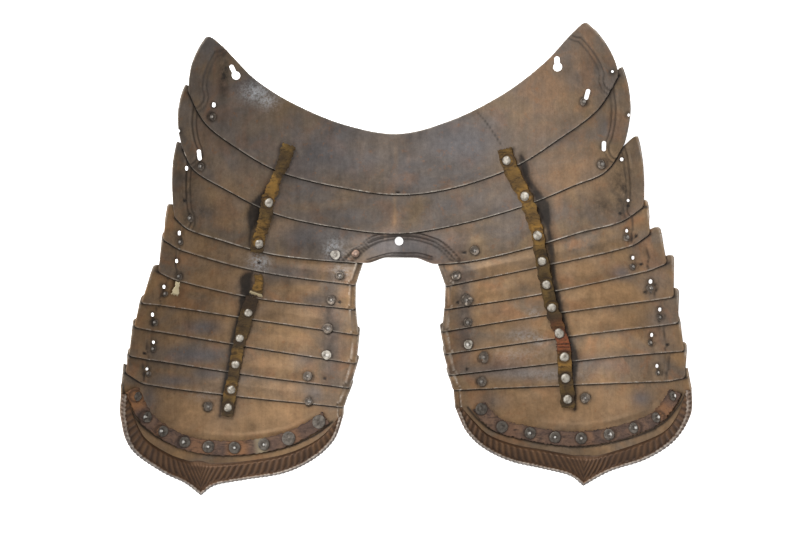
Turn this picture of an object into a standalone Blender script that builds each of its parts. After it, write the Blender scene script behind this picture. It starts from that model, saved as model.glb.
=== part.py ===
"""Fauld and two laminated tassets of a plate corselet, lying on their outer face with the inside up.

Blender 4.5, metres, +Z up, +Y towards the waist, +X to the right as it lies.
Sizes in the tables are millimetres on the object, before it is centred on the origin.
"""

import math
from collections import namedtuple

import bmesh
import bpy
from mathutils import Matrix, Vector

MM = 0.001

# Steel and leather
PLATE_WALL = 1.3
LAME_GAP = 0.5
SHINGLE = (PLATE_WALL + LAME_GAP) / 2
OVERLAP = 9.0
HIP_OVERLAP = 17.0
LEATHER = 2.0
REST_GAP = 0.4
LINING_GAP = 0.8
RIVET_GAP = 0.65

# Where the middle of the lowest face of the whole outline lies in the tables' own frame
CENTRE_X = 5.7
CENTRE_Y = -3.46

# The hollow that the plates are raised to
KEEL_AT_HIP = 127.0
KEEL_SPREAD = 0.217
KEEL_FLAT = 10.0
OUTER_RISE, OUTER_REACH, OUTER_POWER = 62.0, 95.0, 1.9
INNER_RISE, INNER_REACH, INNER_POWER = 20.0, 100.0, 2.0
BELLY_FLAT = 12.0
BELLY_RISE, BELLY_REACH, BELLY_POWER = 84.0, 210.0, 2.1
WAIST_RISE, WAIST_NARROWS = 8.0, 44.0
WAIST_FROM, WAIST_SPAN = 60.0, 150.0
BLEND_FROM, BLEND_SPAN = 50.0, 130.0

# Grid fineness
FAULD_COLUMNS = 40
LAME_COLUMNS = 21
TERMINAL_COLUMNS = 33
CUSP_COLUMN = 11
FAULD_STEPS = 2
TERMINAL_STEPS = 5
CURVE_STEPS = 400

# A plate lies low under its upper neighbour and rises over the lower one. The raised zone takes at
# most this share of a section, and the waist plate starts to rise at this share of its own.
RAISED_SHARE = 0.62
WAIST_SHARE = 0.2

# The end tenth of each fauld plate stands out and bows
END_SHARE = 0.1

# Each row is a section down the fauld, from the left end to the right end: where it crosses the
# waist edge and the lower edges of the three plates.
FauldSection = namedtuple("FauldSection", "waist_x waist_y one_x one_y two_x two_y three_x three_y")
FAULD_SECTIONS = [
    FauldSection(-175, 206, -194, 152, -200, 100, -208, 37),
    FauldSection(-160, 193, -180, 125, -190, 81, -195, 26),
    FauldSection(-134, 167, -152, 103, -164, 65, -168, 17),
    FauldSection(-98, 145, -112, 81, -118, 42, -122, 4),
    FauldSection(-50, 126, -56, 67, -60, 29, -64, -3),
    FauldSection(0, 118, 0, 60, 0, 23, 0, -6),
    FauldSection(50, 131, 54, 67, 57, 32, 62, -4),
    FauldSection(97, 154, 109, 86, 118, 49, 124, 10),
    FauldSection(134, 181, 148, 110, 162, 67, 170, 24),
    FauldSection(156, 204, 184, 137, 192, 80, 205, 33),
    FauldSection(171, 218.5, 202, 167, 208, 104, 226, 47),
]

# How each fauld plate stands out at its ends past the plate above it, and how far the end bows.
FauldPlate = namedtuple("FauldPlate", "name edge left_step left_bow right_step right_bow zone")
FAULD_PLATES = [
    FauldPlate("fauld_plate_1", "one", 0, 5.5, 0, 5.5, OVERLAP + 1),
    FauldPlate("fauld_plate_2", "two", 2, 6, 2, 6.5, OVERLAP + 1),
    FauldPlate("fauld_plate_3", "three", 5, 4, 13, 3, HIP_OVERLAP),
]
ARCH_X, ARCH_HALF, ARCH_RISE = 2.0, 33.0, 6.0
ARCH_STEEP = 1.6

# Each row is the lower edge of one lame, from the outer end past a bend and the keel to the inner
# end, and how far the lame's upper outer corner stands out past the lame above. The hip row is the
# hidden top edge of the uppermost lame.
BEND_IN = 17.0
CORNER_SHARE = 0.14
LameEdge = namedtuple("LameEdge", "name outer_x outer_y bend_y keel_y inner_y inner_x corner")
LEFT_EDGES = [
    LameEdge("hip", 213, 52, 42, 17, 6, 31, 0),
    LameEdge("lame_4", 219, 17, 7, -13, -26, 41, 0),
    LameEdge("lame_5", 224, -13, -21, -38, -49, 41, 0),
    LameEdge("lame_6", 240, -42, -44, -58, -73, 38, 6),
    LameEdge("lame_7", 247, -64, -68, -84, -100, 40, 0),
    LameEdge("lame_8", 252, -91, -95, -110, -123, 46, 0),
    LameEdge("lame_9", 255, -107, -118, -131, -141, 52, 0),
]
RIGHT_EDGES = [
    LameEdge("hip", 228, 55, 49, 23, 6, 33, 0),
    LameEdge("lame_4", 232, 22, 11, -9, -27, 44, 0),
    LameEdge("lame_5", 247, -5, -12, -34, -49, 43, 11),
    LameEdge("lame_6", 254, -36, -39, -54, -70, 40, 6),
    LameEdge("lame_7", 259, -60, -63, -77, -91, 43, 4),
    LameEdge("lame_8", 265, -86, -88, -100, -111, 47, 0),
    LameEdge("lame_9", 266, -111, -115, -121, -125, 51, 0),
]

# Each row is a section across the border of a terminal plate, from the outer end round the cusp to
# the inner end: the rim, and the line where the roped border starts.
BorderSection = namedtuple("BorderSection", "rim_x rim_y rope_x rope_y")
LEFT_BORDER = [
    BorderSection(258, -126, 254, -128),
    BorderSection(259, -151, 248, -149),
    BorderSection(251, -180, 238, -170),
    BorderSection(225.5, -202, 218, -185),
    BorderSection(202, -214.5, 201, -192),
    BorderSection(188, -225.5, 189, -195),
    BorderSection(175, -216.5, 176, -195),
    BorderSection(146, -211, 147, -193),
    BorderSection(109, -204.5, 112, -187),
    BorderSection(80, -190.5, 86, -177),
    BorderSection(60.5, -171.5, 69, -165),
    BorderSection(52.7, -148.5, 58, -151),
]
RIGHT_BORDER = [
    BorderSection(270, -122, 266, -123),
    BorderSection(270, -147, 260, -145),
    BorderSection(257, -172, 249, -162),
    BorderSection(232.5, -190.5, 228, -174),
    BorderSection(199.5, -203, 198, -185),
    BorderSection(175, -216.5, 176, -190),
    BorderSection(162, -207, 163, -187),
    BorderSection(134, -200, 137, -182),
    BorderSection(105, -193, 110, -177),
    BorderSection(80, -180.5, 86, -168),
    BorderSection(63.5, -164.5, 71.5, -155),
    BorderSection(53.5, -142.5, 59, -141),
]
CUSP_ROW = 5
RIM_MARGIN = 4.0
ROPE_PITCH = 6.0
ROPE_HEIGHT = 3.4
ROPE_DEPTH = 0.28
ROPE_SIDES = 5
ROPE_STEPS = 3
ROPE_LEAN = 0.16
ROPE_CROWN = 0.6
ROPE_FULL_WIDTH = 14.0
MARGIN_SHARE = 0.4

# Straps and lining leathers: the middle line, point by point, and the width.
Strap = namedtuple("Strap", "name width step path")
STRAPS = [
    Strap("strap_left_upper", 11.5, 12, [(-104, 106), (-109, 87), (-124, 52), (-133, 14), (-135, 6)]),
    Strap("strap_left_remnant", 8.5, 9, [(-134, -16), (-133, -26), (-134, -34)]),
    Strap("strap_left_lower", 12, 12, [(-139, -36), (-150, -76), (-155, -101), (-160, -126), (-163, -150)]),
    Strap(
        "strap_right", 13, 12,
        [(101, 103), (104, 91), (120, 58), (132, 22), (136, -2), (140, -24),
         (145, -46), (153, -71), (157, -94), (158, -114), (160, -142)],
    ),
]
LININGS = [
    Strap(
        "lining_left", 12, 10,
        [(-247, -127), (-238, -149), (-224, -163), (-204, -174), (-181, -179),
         (-156, -180), (-128, -177), (-104, -171), (-84, -161), (-69, -151)],
    ),
    Strap(
        "lining_right", 12, 10,
        [(75, -140), (84, -151), (97, -160), (124, -166), (148, -170),
         (173, -171), (200, -167), (223, -160), (242, -150), (254, -134), (258, -124)],
    ),
]

# Rivets on the straps, one to a plate, and rivets over washers on the lining leathers.
Rivet = namedtuple("Rivet", "carrier x y radius")
STRAP_RIVETS = [
    Rivet("strap_left", -124, 52, 4.2),
    Rivet("strap_left", -133, 14, 4.2),
    Rivet("strap_left", -143, -51, 3.8),
    Rivet("strap_left", -151, -76, 3.8),
    Rivet("strap_left", -155, -101, 3.8),
    Rivet("strap_left", -159, -125, 4.0),
    Rivet("strap_left", -162, -142, 3.8),
    Rivet("strap_right", 103, 92, 4.2),
    Rivet("strap_right", 120, 58, 4.4),
    Rivet("strap_right", 132, 22, 4.4),
    Rivet("strap_right", 136, -2, 4.2),
    Rivet("strap_right", 140, -24, 4.2),
    Rivet("strap_right", 145, -46, 4.2),
    Rivet("strap_right", 152, -71, 4.6),
    Rivet("strap_right", 157, -94, 4.4),
    Rivet("strap_right", 158, -114, 4.4),
    Rivet("strap_right", 160, -134, 4.2),
]
WASHERS = [
    Rivet("lining_left", -246, -129, 4.4),
    Rivet("lining_left", -238, -149, 5.2),
    Rivet("lining_left", -224, -163, 5.4),
    Rivet("lining_left", -204, -174, 5.4),
    Rivet("lining_left", -181, -179, 5.6),
    Rivet("lining_left", -156, -180, 5.6),
    Rivet("lining_left", -128, -177, 5.6),
    Rivet("lining_left", -104, -171, 5.8),
    Rivet("lining_left", -75, -155, 5.8),
    Rivet("lining_right", 77, -143, 5.8),
    Rivet("lining_right", 97, -160, 5.6),
    Rivet("lining_right", 124, -166, 5.4),
    Rivet("lining_right", 148, -170, 5.4),
    Rivet("lining_right", 173, -171, 5.4),
    Rivet("lining_right", 200, -167, 5.4),
    Rivet("lining_right", 223, -160, 5.2),
    Rivet("lining_right", 243, -149, 5.0),
    Rivet("lining_right", 257, -128, 4.4),
]
RIVET_SIDES = 10
RIVET_HEIGHT = 1.8
WASHER_HEIGHT = 1.6
HEAD_TAPER = 0.55

# Holes cut straight down: keyholes for turning pins, the middle hole, and slots for sliding rivets.
Hole = namedtuple("Hole", "plate x y radius slot_x slot_y slot_width")
HOLES = [
    Hole("fauld_plate_1", -152, 170, 3.8, -156, 178, 4.0),
    Hole("fauld_plate_1", 148, 178, 4.0, 147, 188, 4.8),
    Hole("fauld_plate_1", 173, 147, 0, 176, 156, 3.8),
    Hole("fauld_plate_2", -185, 91, 0, -186, 100, 3.6),
    Hole("fauld_plate_2", 190, 99, 0, 190, 108, 3.8),
    Hole("fauld_plate_3", 0, 16, 4.0, 0, 16, 0),
]
CUTTER_SIDES = 16
CUTTER_TALL = 60.0
SLOT_SHORTER = 2.0

SLOPE_STEP = 0.5
SHARP_ANGLE = math.radians(40)


def mix(start, end, share):
    return start + (end - start) * share


def ease(share):
    share = max(0.0, min(1.0, share))
    return share * share * (3 - 2 * share)


def keel_x(y):
    """How far each tasset's lowest line lies from the middle."""
    return KEEL_AT_HIP - KEEL_SPREAD * y


def belly_rise(x, y):
    waist = max(0.0, min(1.0, (y - WAIST_FROM) / WAIST_SPAN))
    reach = BELLY_REACH - WAIST_NARROWS * waist
    rise = BELLY_RISE + WAIST_RISE * waist
    return rise * (max(0.0, abs(x) - BELLY_FLAT) / reach) ** BELLY_POWER


def thigh_rise(x, y):
    out = abs(x) - keel_x(y)
    if out > 0:
        return OUTER_RISE * (max(0.0, out - KEEL_FLAT) / OUTER_REACH) ** OUTER_POWER
    return INNER_RISE * (max(0.0, -out - KEEL_FLAT) / INNER_REACH) ** INNER_POWER


def rise(x, y):
    """Height of the hollow: one trough for the belly, which parts into one for each thigh."""
    thigh = ease((BLEND_FROM - y) / BLEND_SPAN)
    return mix(belly_rise(x, y), thigh_rise(x, y), thigh)


def upright(x, y):
    """The direction square to the hollow, on the side of the body."""
    step = SLOPE_STEP
    slope_x = (rise(x + step, y) - rise(x - step, y)) / (2 * step)
    slope_y = (rise(x, y + step) - rise(x, y - step)) / (2 * step)
    return Vector((-slope_x, -slope_y, 1)).normalized()


def on_hollow(x, y, offset):
    """A point over the hollow, in metres. The lowest plate faces lie on the floor."""
    point = Vector((x - CENTRE_X, y - CENTRE_Y, rise(x, y) + SHINGLE + PLATE_WALL / 2))
    return (point + upright(x, y) * offset) * MM


def smooth_line(points, share):
    """A point on the smooth curve through evenly numbered points."""
    last = len(points) - 1
    place = max(0.0, min(1.0, share)) * last
    start = min(int(place), last - 1)
    part = place - start
    near = [points[max(0, min(last, start + step))] for step in (-1, 0, 1, 2)]
    return tuple(
        0.5 * (2 * b + (c - a) * part + (2 * a - 5 * b + 4 * c - d) * part**2
               + (3 * b - a - 3 * c + d) * part**3)
        for a, b, c, d in zip(*near)
    )


def smooth_level(points, x):
    """The level at x of the smooth curve through unevenly spaced points, sorted by x."""
    last = len(points) - 1
    start = max(0, min(last - 1, sum(point[0] <= x for point in points) - 1))
    (x0, y0), (x1, y1) = points[start], points[start + 1]
    before, after = points[max(0, start - 1)], points[min(last, start + 2)]
    wide = x1 - x0
    slope0 = (y1 - before[1]) / (x1 - before[0])
    slope1 = (after[1] - y0) / (after[0] - x0)
    part = (x - x0) / wide
    return (
        y0 * (1 + 2 * part) * (1 - part) ** 2 + slope0 * wide * part * (1 - part) ** 2
        + y1 * part**2 * (3 - 2 * part) + slope1 * wide * part**2 * (part - 1)
    )


def evenly(points, step):
    """Points about one step apart along the smooth curve."""
    fine = [Vector(smooth_line(points, index / CURVE_STEPS)) for index in range(CURVE_STEPS + 1)]
    reached = [0.0]
    for start, end in zip(fine, fine[1:]):
        reached.append(reached[-1] + (end - start).length)
    count = max(1, round(reached[-1] / step))
    spots = []
    at = 0
    for index in range(count + 1):
        goal = reached[-1] * index / count
        while at < len(fine) - 2 and reached[at + 1] < goal:
            at += 1
        part = (goal - reached[at]) / max(1e-9, reached[at + 1] - reached[at])
        spots.append(fine[at].lerp(fine[at + 1], part))
    return spots


def material(name, colour, roughness, metallic):
    made = bpy.data.materials.new(name)
    made.use_nodes = True
    shader = made.node_tree.nodes["Principled BSDF"]
    shader.inputs["Base Color"].default_value = (*colour, 1)
    shader.inputs["Roughness"].default_value = roughness
    shader.inputs["Metallic"].default_value = metallic
    return made


def add_object(name, shape, finish, home):
    mesh = bpy.data.meshes.new(name)
    shape.to_mesh(mesh)
    shape.free()
    if finish:
        mesh.materials.append(finish)
    mesh.shade_smooth()
    made = bpy.data.objects.new(name, mesh)
    home.objects.link(made)
    return made


def sheet(name, columns, rows, place, wall, finish, home):
    """A shell: a grid laid out by place(column, row), with its wall from Solidify."""
    shape = bmesh.new()
    bmesh.ops.create_grid(shape, x_segments=columns, y_segments=rows, size=0.5)
    for vert in shape.verts:
        column = round((vert.co.x + 0.5) * columns)
        row = round((vert.co.y + 0.5) * rows)
        vert.co = place(column, row)
    bmesh.ops.recalc_face_normals(shape, faces=shape.faces)
    made = add_object(name, shape, finish, home)
    made.data.set_sharp_from_angle(angle=SHARP_ANGLE)
    shell = made.modifiers.new("wall", "SOLIDIFY")
    shell.thickness = wall * MM
    shell.offset = 0
    shell.use_even_offset = True
    return made


def plate_rows(top, above, low, zone, steps):
    """Points down a plate's section, each with its offset.

    The plate lies low where the plate above covers it and high where it covers the next one.
    """
    section = low - above
    zone = min(zone, section.length * RAISED_SHARE)
    start = low - section.normalized() * zone
    rows = [(top, -SHINGLE)]
    for index in range(steps + 1):
        share = index / steps
        rows.append((above.lerp(start, share), mix(-SHINGLE, SHINGLE, share)))
    rows.append((low, SHINGLE))
    return rows


def lay_rows(rows_at, columns):
    """A place function from one that gives the rows of a section."""
    sections = [rows_at(column / columns) for column in range(columns + 1)]

    def place(column, row):
        spot, offset = sections[column][row]
        return on_hollow(spot.x, spot.y, offset)

    return place, len(sections[0]) - 1


def fauld_edge(edge, share):
    points = [
        (getattr(section, edge + "_x"), getattr(section, edge + "_y")) for section in FAULD_SECTIONS
    ]
    x, y = smooth_line(points, share)
    if edge == "three":
        y += ARCH_RISE * ease(ARCH_STEEP * (1 - abs(x - ARCH_X) / ARCH_HALF))
    return Vector((x, y))


def fauld_plate(plate, above_edge, finish, home):
    def rows_at(share):
        above = fauld_edge(above_edge, share)
        low = fauld_edge(plate.edge, share)
        left = max(0.0, 1 - share / END_SHARE)
        right = max(0.0, 1 - (1 - share) / END_SHARE)
        if above_edge == "waist":
            top = above
            above = above + (low - above) * WAIST_SHARE
        else:
            top = above + (above - low).normalized() * OVERLAP
        rows = plate_rows(top, above, low, plate.zone, FAULD_STEPS)
        moved = []
        for spot, offset in rows:
            down = (spot - top).length / (low - top).length
            bow = 4 * down * (1 - down)
            out_left = left * (plate.left_step * (1 - down) + plate.left_bow * bow)
            out_right = right * (plate.right_step * (1 - down) + plate.right_bow * bow)
            moved.append((spot + Vector((out_right - out_left, 0)), offset))
        return moved

    place, rows = lay_rows(rows_at, FAULD_COLUMNS)
    return sheet(plate.name, FAULD_COLUMNS, rows, place, PLATE_WALL, finish, home)


def lame_edge(edge, side, share):
    """A point on a lame's edge, from the outer end at 0 to the inner end at 1."""
    points = sorted([
        (edge.inner_x, edge.inner_y),
        (keel_x(edge.keel_y), edge.keel_y),
        (edge.outer_x - BEND_IN, edge.bend_y),
        (edge.outer_x, edge.outer_y),
    ])
    x = mix(edge.outer_x, edge.inner_x, share)
    return Vector((side * x, smooth_level(points, x)))


def lame(name, side, above_edge, low_edge, finish, home):
    def rows_at(share):
        above = lame_edge(above_edge, side, share)
        low = lame_edge(low_edge, side, share)
        down = (low - above).normalized()
        top = above - down * OVERLAP
        if above_edge.name == "hip":
            top = above
            above = above + down * HIP_OVERLAP
        near_end = max(0.0, 1 - share / CORNER_SHARE)
        moved = []
        for spot, offset in plate_rows(top, above, low, OVERLAP + 1, 1):
            near_top = (low - spot).length / (low - top).length
            moved.append((spot + Vector((side * low_edge.corner * near_end * near_top, 0)), offset))
        return moved

    place, rows = lay_rows(rows_at, LAME_COLUMNS)
    return sheet(name, LAME_COLUMNS, rows, place, PLATE_WALL, finish, home)


def rim_points(border, side):
    points = [(side * row.rim_x, row.rim_y) for row in border]
    return points[: CUSP_ROW + 1], points[CUSP_ROW:]


def terminal(name, side, above_edge, border, finish, home):
    outer, inner = rim_points(border, side)
    cusp = CUSP_COLUMN / TERMINAL_COLUMNS

    def rows_at(share):
        above = lame_edge(above_edge, side, share)
        if share <= cusp:
            rim = Vector(smooth_line(outer, share / cusp))
        else:
            rim = Vector(smooth_line(inner, (share - cusp) / (1 - cusp)))
        rows = [(above + Vector((0, OVERLAP)), -SHINGLE)]
        for index in range(TERMINAL_STEPS + 1):
            rows.append((above.lerp(rim, index / TERMINAL_STEPS), -SHINGLE))
        return rows

    place, rows = lay_rows(rows_at, TERMINAL_COLUMNS)
    return sheet(name, TERMINAL_COLUMNS, rows, place, PLATE_WALL, finish, home)


def rope(name, side, border, finish, home):
    """The roped border: one closed band, crowned, with slanting grooves that lean to the cusp."""
    lines = []
    for start, end in ((0, CUSP_ROW), (CUSP_ROW, len(border) - 1)):
        part = border[start : end + 1]
        rows = [(side * row.rim_x, row.rim_y, side * row.rope_x, row.rope_y) for row in part]
        lines.append(evenly(rows, ROPE_PITCH * 2**0.5 / ROPE_STEPS))
    sections = lines[0] + lines[1][1:]
    cusp = len(lines[0]) - 1
    floor = -SHINGLE + PLATE_WALL / 2 + LINING_GAP
    columns = len(sections) - 1

    shape = bmesh.new()
    bmesh.ops.create_grid(shape, x_segments=columns, y_segments=ROPE_SIDES, size=0.5)
    for vert in shape.verts:
        column = round((vert.co.x + 0.5) * columns)
        turn = round((vert.co.y + 0.5) * ROPE_SIDES) % ROPE_SIDES
        section = sections[column]
        rim = Vector(section[:2])
        start = Vector(section[2:])
        across = start - rim
        rim += across.normalized() * min(RIM_MARGIN, across.length * MARGIN_SHARE)
        share = turn / (ROPE_SIDES - 1)
        spot = rim.lerp(start, share)
        lean = ROPE_LEAN * turn * ROPE_STEPS
        wave = math.cos(2 * math.pi * (abs(column - cusp) - lean) / ROPE_STEPS)
        crown = math.sin(math.pi * share) ** ROPE_CROWN if 0 < turn < ROPE_SIDES - 1 else 0
        narrow = min(1.0, across.length / ROPE_FULL_WIDTH)
        height = ROPE_HEIGHT * narrow * crown * (1 - ROPE_DEPTH * (1 - wave))
        vert.co = on_hollow(spot.x, spot.y, floor + height)
    bmesh.ops.remove_doubles(shape, verts=shape.verts, dist=1e-6)
    bmesh.ops.holes_fill(shape, edges=shape.edges, sides=0)
    bmesh.ops.recalc_face_normals(shape, faces=shape.faces)
    return add_object(name, shape, finish, home)


def strap(row, offset, finish, home):
    """A leather strap laid over the plates along its middle line."""
    middle = evenly(row.path, row.step)
    columns = len(middle) - 1

    def place(column, line):
        before = middle[max(0, column - 1)]
        after = middle[min(columns, column + 1)]
        across = (after - before).orthogonal().normalized()
        spot = middle[column] + across * row.width * (line / 2 - 0.5)
        return on_hollow(spot.x, spot.y, offset)

    return sheet(row.name, columns, 2, place, LEATHER, finish, home)


def head(name, row, offset, height, finish, home):
    """A hammered rivet head or washer, square to the surface that it is set on."""
    shape = bmesh.new()
    bmesh.ops.create_cone(
        shape, cap_ends=True, segments=RIVET_SIDES, radius1=row.radius * MM,
        radius2=row.radius * HEAD_TAPER * MM, depth=height * MM,
    )
    turn = upright(row.x, row.y).to_track_quat("Z", "Y")
    seat = on_hollow(row.x, row.y, offset + height / 2)
    place = Matrix.Translation(seat) @ turn.to_matrix().to_4x4()
    bmesh.ops.transform(shape, matrix=place, verts=shape.verts)
    return add_object(name, shape, finish, home)


def hide_cutter(made):
    made.hide_render = True
    made.display_type = "WIRE"
    return made


def round_cutter(name, hole, home):
    shape = bmesh.new()
    bmesh.ops.create_cone(
        shape, cap_ends=True, segments=CUTTER_SIDES, radius1=hole.radius * MM,
        radius2=hole.radius * MM, depth=CUTTER_TALL * MM,
    )
    seat = Vector((hole.x - CENTRE_X, hole.y - CENTRE_Y, rise(hole.x, hole.y))) * MM
    bmesh.ops.translate(shape, verts=shape.verts, vec=seat)
    return hide_cutter(add_object(name, shape, None, home))


def slot_cutter(name, hole, home):
    start = Vector((hole.x, hole.y))
    end = Vector((hole.slot_x, hole.slot_y))
    along = end - start
    middle = (start + end) / 2
    shape = bmesh.new()
    bmesh.ops.create_cube(shape, size=1)
    size = Vector((along.length, hole.slot_width, CUTTER_TALL - SLOT_SHORTER)) * MM
    bmesh.ops.scale(shape, verts=shape.verts, vec=size)
    turn = Matrix.Rotation(math.atan2(along.y, along.x), 3, "Z")
    bmesh.ops.rotate(shape, verts=shape.verts, matrix=turn)
    seat = Vector((middle.x - CENTRE_X, middle.y - CENTRE_Y, rise(middle.x, middle.y))) * MM
    bmesh.ops.translate(shape, verts=shape.verts, vec=seat)
    return hide_cutter(add_object(name, shape, None, home))


def cut_holes(plates, home):
    for number, hole in enumerate(HOLES, 1):
        cutters = []
        if hole.radius:
            cutters.append(round_cutter(f"cutter_{number}_round", hole, home))
        if hole.slot_width:
            cutters.append(slot_cutter(f"cutter_{number}_slot", hole, home))
        for made in cutters:
            cut = plates[hole.plate].modifiers.new(made.name, "BOOLEAN")
            cut.operation = "DIFFERENCE"
            cut.solver = "EXACT"
            cut.object = made


def collection(name):
    made = bpy.data.collections.new(name)
    bpy.context.scene.collection.children.link(made)
    return made


def build():
    for old in list(bpy.data.objects):
        bpy.data.objects.remove(old, do_unlink=True)
    fauld_steel = material("fauld_steel", (0.17, 0.125, 0.10), 0.45, 0.85)
    tasset_steel = material("tasset_steel", (0.19, 0.12, 0.08), 0.45, 0.85)
    rope_steel = material("rope_steel", (0.24, 0.15, 0.10), 0.4, 0.85)
    old_leather = material("old_leather", (0.22, 0.15, 0.06), 0.8, 0.0)
    lining_leather = material("lining_leather", (0.20, 0.09, 0.06), 0.85, 0.0)
    bright_steel = material("bright_steel", (0.55, 0.52, 0.47), 0.3, 1.0)
    washer_steel = material("washer_steel", (0.38, 0.35, 0.32), 0.4, 1.0)

    corselet = collection("fauld_and_tassets")
    cutters = collection("cutters")

    plates = {}
    above = "waist"
    for plate in FAULD_PLATES:
        plates[plate.name] = fauld_plate(plate, above, fauld_steel, corselet)
        above = plate.edge
    cut_holes(plates, cutters)

    for word, side, edges, border in (
        ("left", -1, LEFT_EDGES, LEFT_BORDER),
        ("right", 1, RIGHT_EDGES, RIGHT_BORDER),
    ):
        for above_edge, low_edge in zip(edges, edges[1:]):
            lame(f"{word}_{low_edge.name}", side, above_edge, low_edge, tasset_steel, corselet)
        terminal(f"{word}_terminal", side, edges[-1], border, tasset_steel, corselet)
        rope(f"{word}_rope", side, border, rope_steel, corselet)

    strap_middle = SHINGLE + PLATE_WALL / 2 + REST_GAP + LEATHER / 2
    for row in STRAPS:
        strap(row, strap_middle, old_leather, corselet)
    lining_middle = -SHINGLE + PLATE_WALL / 2 + LINING_GAP + LEATHER / 2
    for row in LININGS:
        strap(row, lining_middle, lining_leather, corselet)

    for rows, middle, height, finish, word in (
        (STRAP_RIVETS, strap_middle, RIVET_HEIGHT, bright_steel, "rivet"),
        (WASHERS, lining_middle, WASHER_HEIGHT, washer_steel, "washer"),
    ):
        for count, row in enumerate(rows, 1):
            head(
                f"{row.carrier}_{word}_{count:02d}", row, middle + LEATHER / 2 + RIVET_GAP,
                height, finish, corselet,
            )


build()
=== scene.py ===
import math
from collections import namedtuple

import bmesh
import bpy
import numpy as np
from mathutils import Matrix, Vector, kdtree
from mathutils.bvhtree import BVHTree


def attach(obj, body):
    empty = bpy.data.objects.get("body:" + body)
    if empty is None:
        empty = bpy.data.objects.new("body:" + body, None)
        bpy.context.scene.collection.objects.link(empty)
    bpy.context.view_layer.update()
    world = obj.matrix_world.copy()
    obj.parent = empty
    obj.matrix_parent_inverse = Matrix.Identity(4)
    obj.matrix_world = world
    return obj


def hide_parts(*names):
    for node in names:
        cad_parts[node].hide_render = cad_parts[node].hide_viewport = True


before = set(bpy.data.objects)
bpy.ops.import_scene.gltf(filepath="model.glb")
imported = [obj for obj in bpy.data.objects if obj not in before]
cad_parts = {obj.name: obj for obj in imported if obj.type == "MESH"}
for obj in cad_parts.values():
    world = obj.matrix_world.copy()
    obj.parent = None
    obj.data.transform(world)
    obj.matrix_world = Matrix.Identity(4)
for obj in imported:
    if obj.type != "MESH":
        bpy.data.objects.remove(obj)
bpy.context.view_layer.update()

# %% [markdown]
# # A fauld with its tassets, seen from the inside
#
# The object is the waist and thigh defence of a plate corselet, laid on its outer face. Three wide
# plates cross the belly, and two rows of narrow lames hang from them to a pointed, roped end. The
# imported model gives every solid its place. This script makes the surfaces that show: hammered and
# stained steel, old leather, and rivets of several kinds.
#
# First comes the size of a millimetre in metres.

MM = 0.001

# %% [markdown]
# ## The hollow
#
# Every plate was raised to one hollow shape: a wide trough for the belly that parts into a trough
# for each thigh. Writing that hollow as one function of the place on the table keeps neighbouring
# plates nested, and everything else can be set on it. The sizes are in millimetres on the object.

# %% The hollow as a function
PLATE_WALL = 1.3
LAME_GAP = 0.5
SHINGLE = (PLATE_WALL + LAME_GAP) / 2
CENTRE = np.array([5.7, -3.46])
KEEL_AT_HIP, KEEL_SPREAD, KEEL_FLAT = 127.0, 0.217, 10.0
OUTER_RISE, OUTER_REACH, OUTER_POWER = 62.0, 95.0, 1.9
INNER_RISE, INNER_REACH, INNER_POWER = 20.0, 100.0, 2.0
BELLY_FLAT, BELLY_RISE, BELLY_REACH, BELLY_POWER = 12.0, 84.0, 210.0, 2.1
WAIST_RISE, WAIST_NARROWS, WAIST_FROM, WAIST_SPAN = 8.0, 44.0, 60.0, 150.0
BLEND_FROM, BLEND_SPAN = 50.0, 130.0


def ease(share):
    share = np.clip(share, 0, 1)
    return share * share * (3 - 2 * share)


def keel_x(y):
    return KEEL_AT_HIP - KEEL_SPREAD * y


def rise(x, y):
    """Height of the hollow over its lowest line."""
    waist = np.clip((y - WAIST_FROM) / WAIST_SPAN, 0, 1)
    reach = BELLY_REACH - WAIST_NARROWS * waist
    belly = (BELLY_RISE + WAIST_RISE * waist) * (
        np.maximum(0, np.abs(x) - BELLY_FLAT) / reach
    ) ** BELLY_POWER
    out = np.abs(x) - keel_x(y)
    outer = OUTER_RISE * (np.maximum(0, out - KEEL_FLAT) / OUTER_REACH) ** OUTER_POWER
    inner = INNER_RISE * (np.maximum(0, -out - KEEL_FLAT) / INNER_REACH) ** INNER_POWER
    thigh = ease((BLEND_FROM - y) / BLEND_SPAN)
    return belly * (1 - thigh) + np.where(out > 0, outer, inner) * thigh


def upright(x, y, step=0.5):
    """The direction square to the hollow, towards the body."""
    slope_x = (rise(x + step, y) - rise(x - step, y)) / (2 * step)
    slope_y = (rise(x, y + step) - rise(x, y - step)) / (2 * step)
    away = np.stack([-slope_x, -slope_y, np.ones_like(slope_x)], axis=-1)
    return away / np.linalg.norm(away, axis=-1, keepdims=True)


def on_hollow(spots, offset):
    """Points over the hollow, in metres. The lowest plate faces lie on the floor."""
    x, y = spots[..., 0], spots[..., 1]
    level = rise(x, y) + SHINGLE + PLATE_WALL / 2
    points = np.stack([x - CENTRE[0], y - CENTRE[1], level], axis=-1)
    return (points + upright(x, y) * np.asarray(offset)[..., None]) * MM


print("deepest point of the hollow:", round(float(rise(208.0, 104.0)), 1), "mm over the keel")

# %% [markdown]
# ## Smooth lines
#
# An armourer's edge is a fair curve through a few marks. Two helpers draw such curves: one through
# evenly numbered points, one through points with uneven spacing. A third spaces points evenly along
# a curve, which rivets, ropes and leather grain need.

# %% Fair curves
CURVE_POINTS = 1201


def smooth_line(points, share):
    """Points on the fair curve through evenly numbered points."""
    points = np.asarray(points, float)
    last = len(points) - 1
    place = np.clip(np.atleast_1d(share), 0, 1) * last
    start = np.minimum(place.astype(int), last - 1)
    part = (place - start)[:, None]
    a, b, c, d = (points[np.clip(start + step, 0, last)] for step in (-1, 0, 1, 2))
    return 0.5 * (2 * b + (c - a) * part + (2 * a - 5 * b + 4 * c - d) * part**2
                  + (3 * b - a - 3 * c + d) * part**3)


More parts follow.
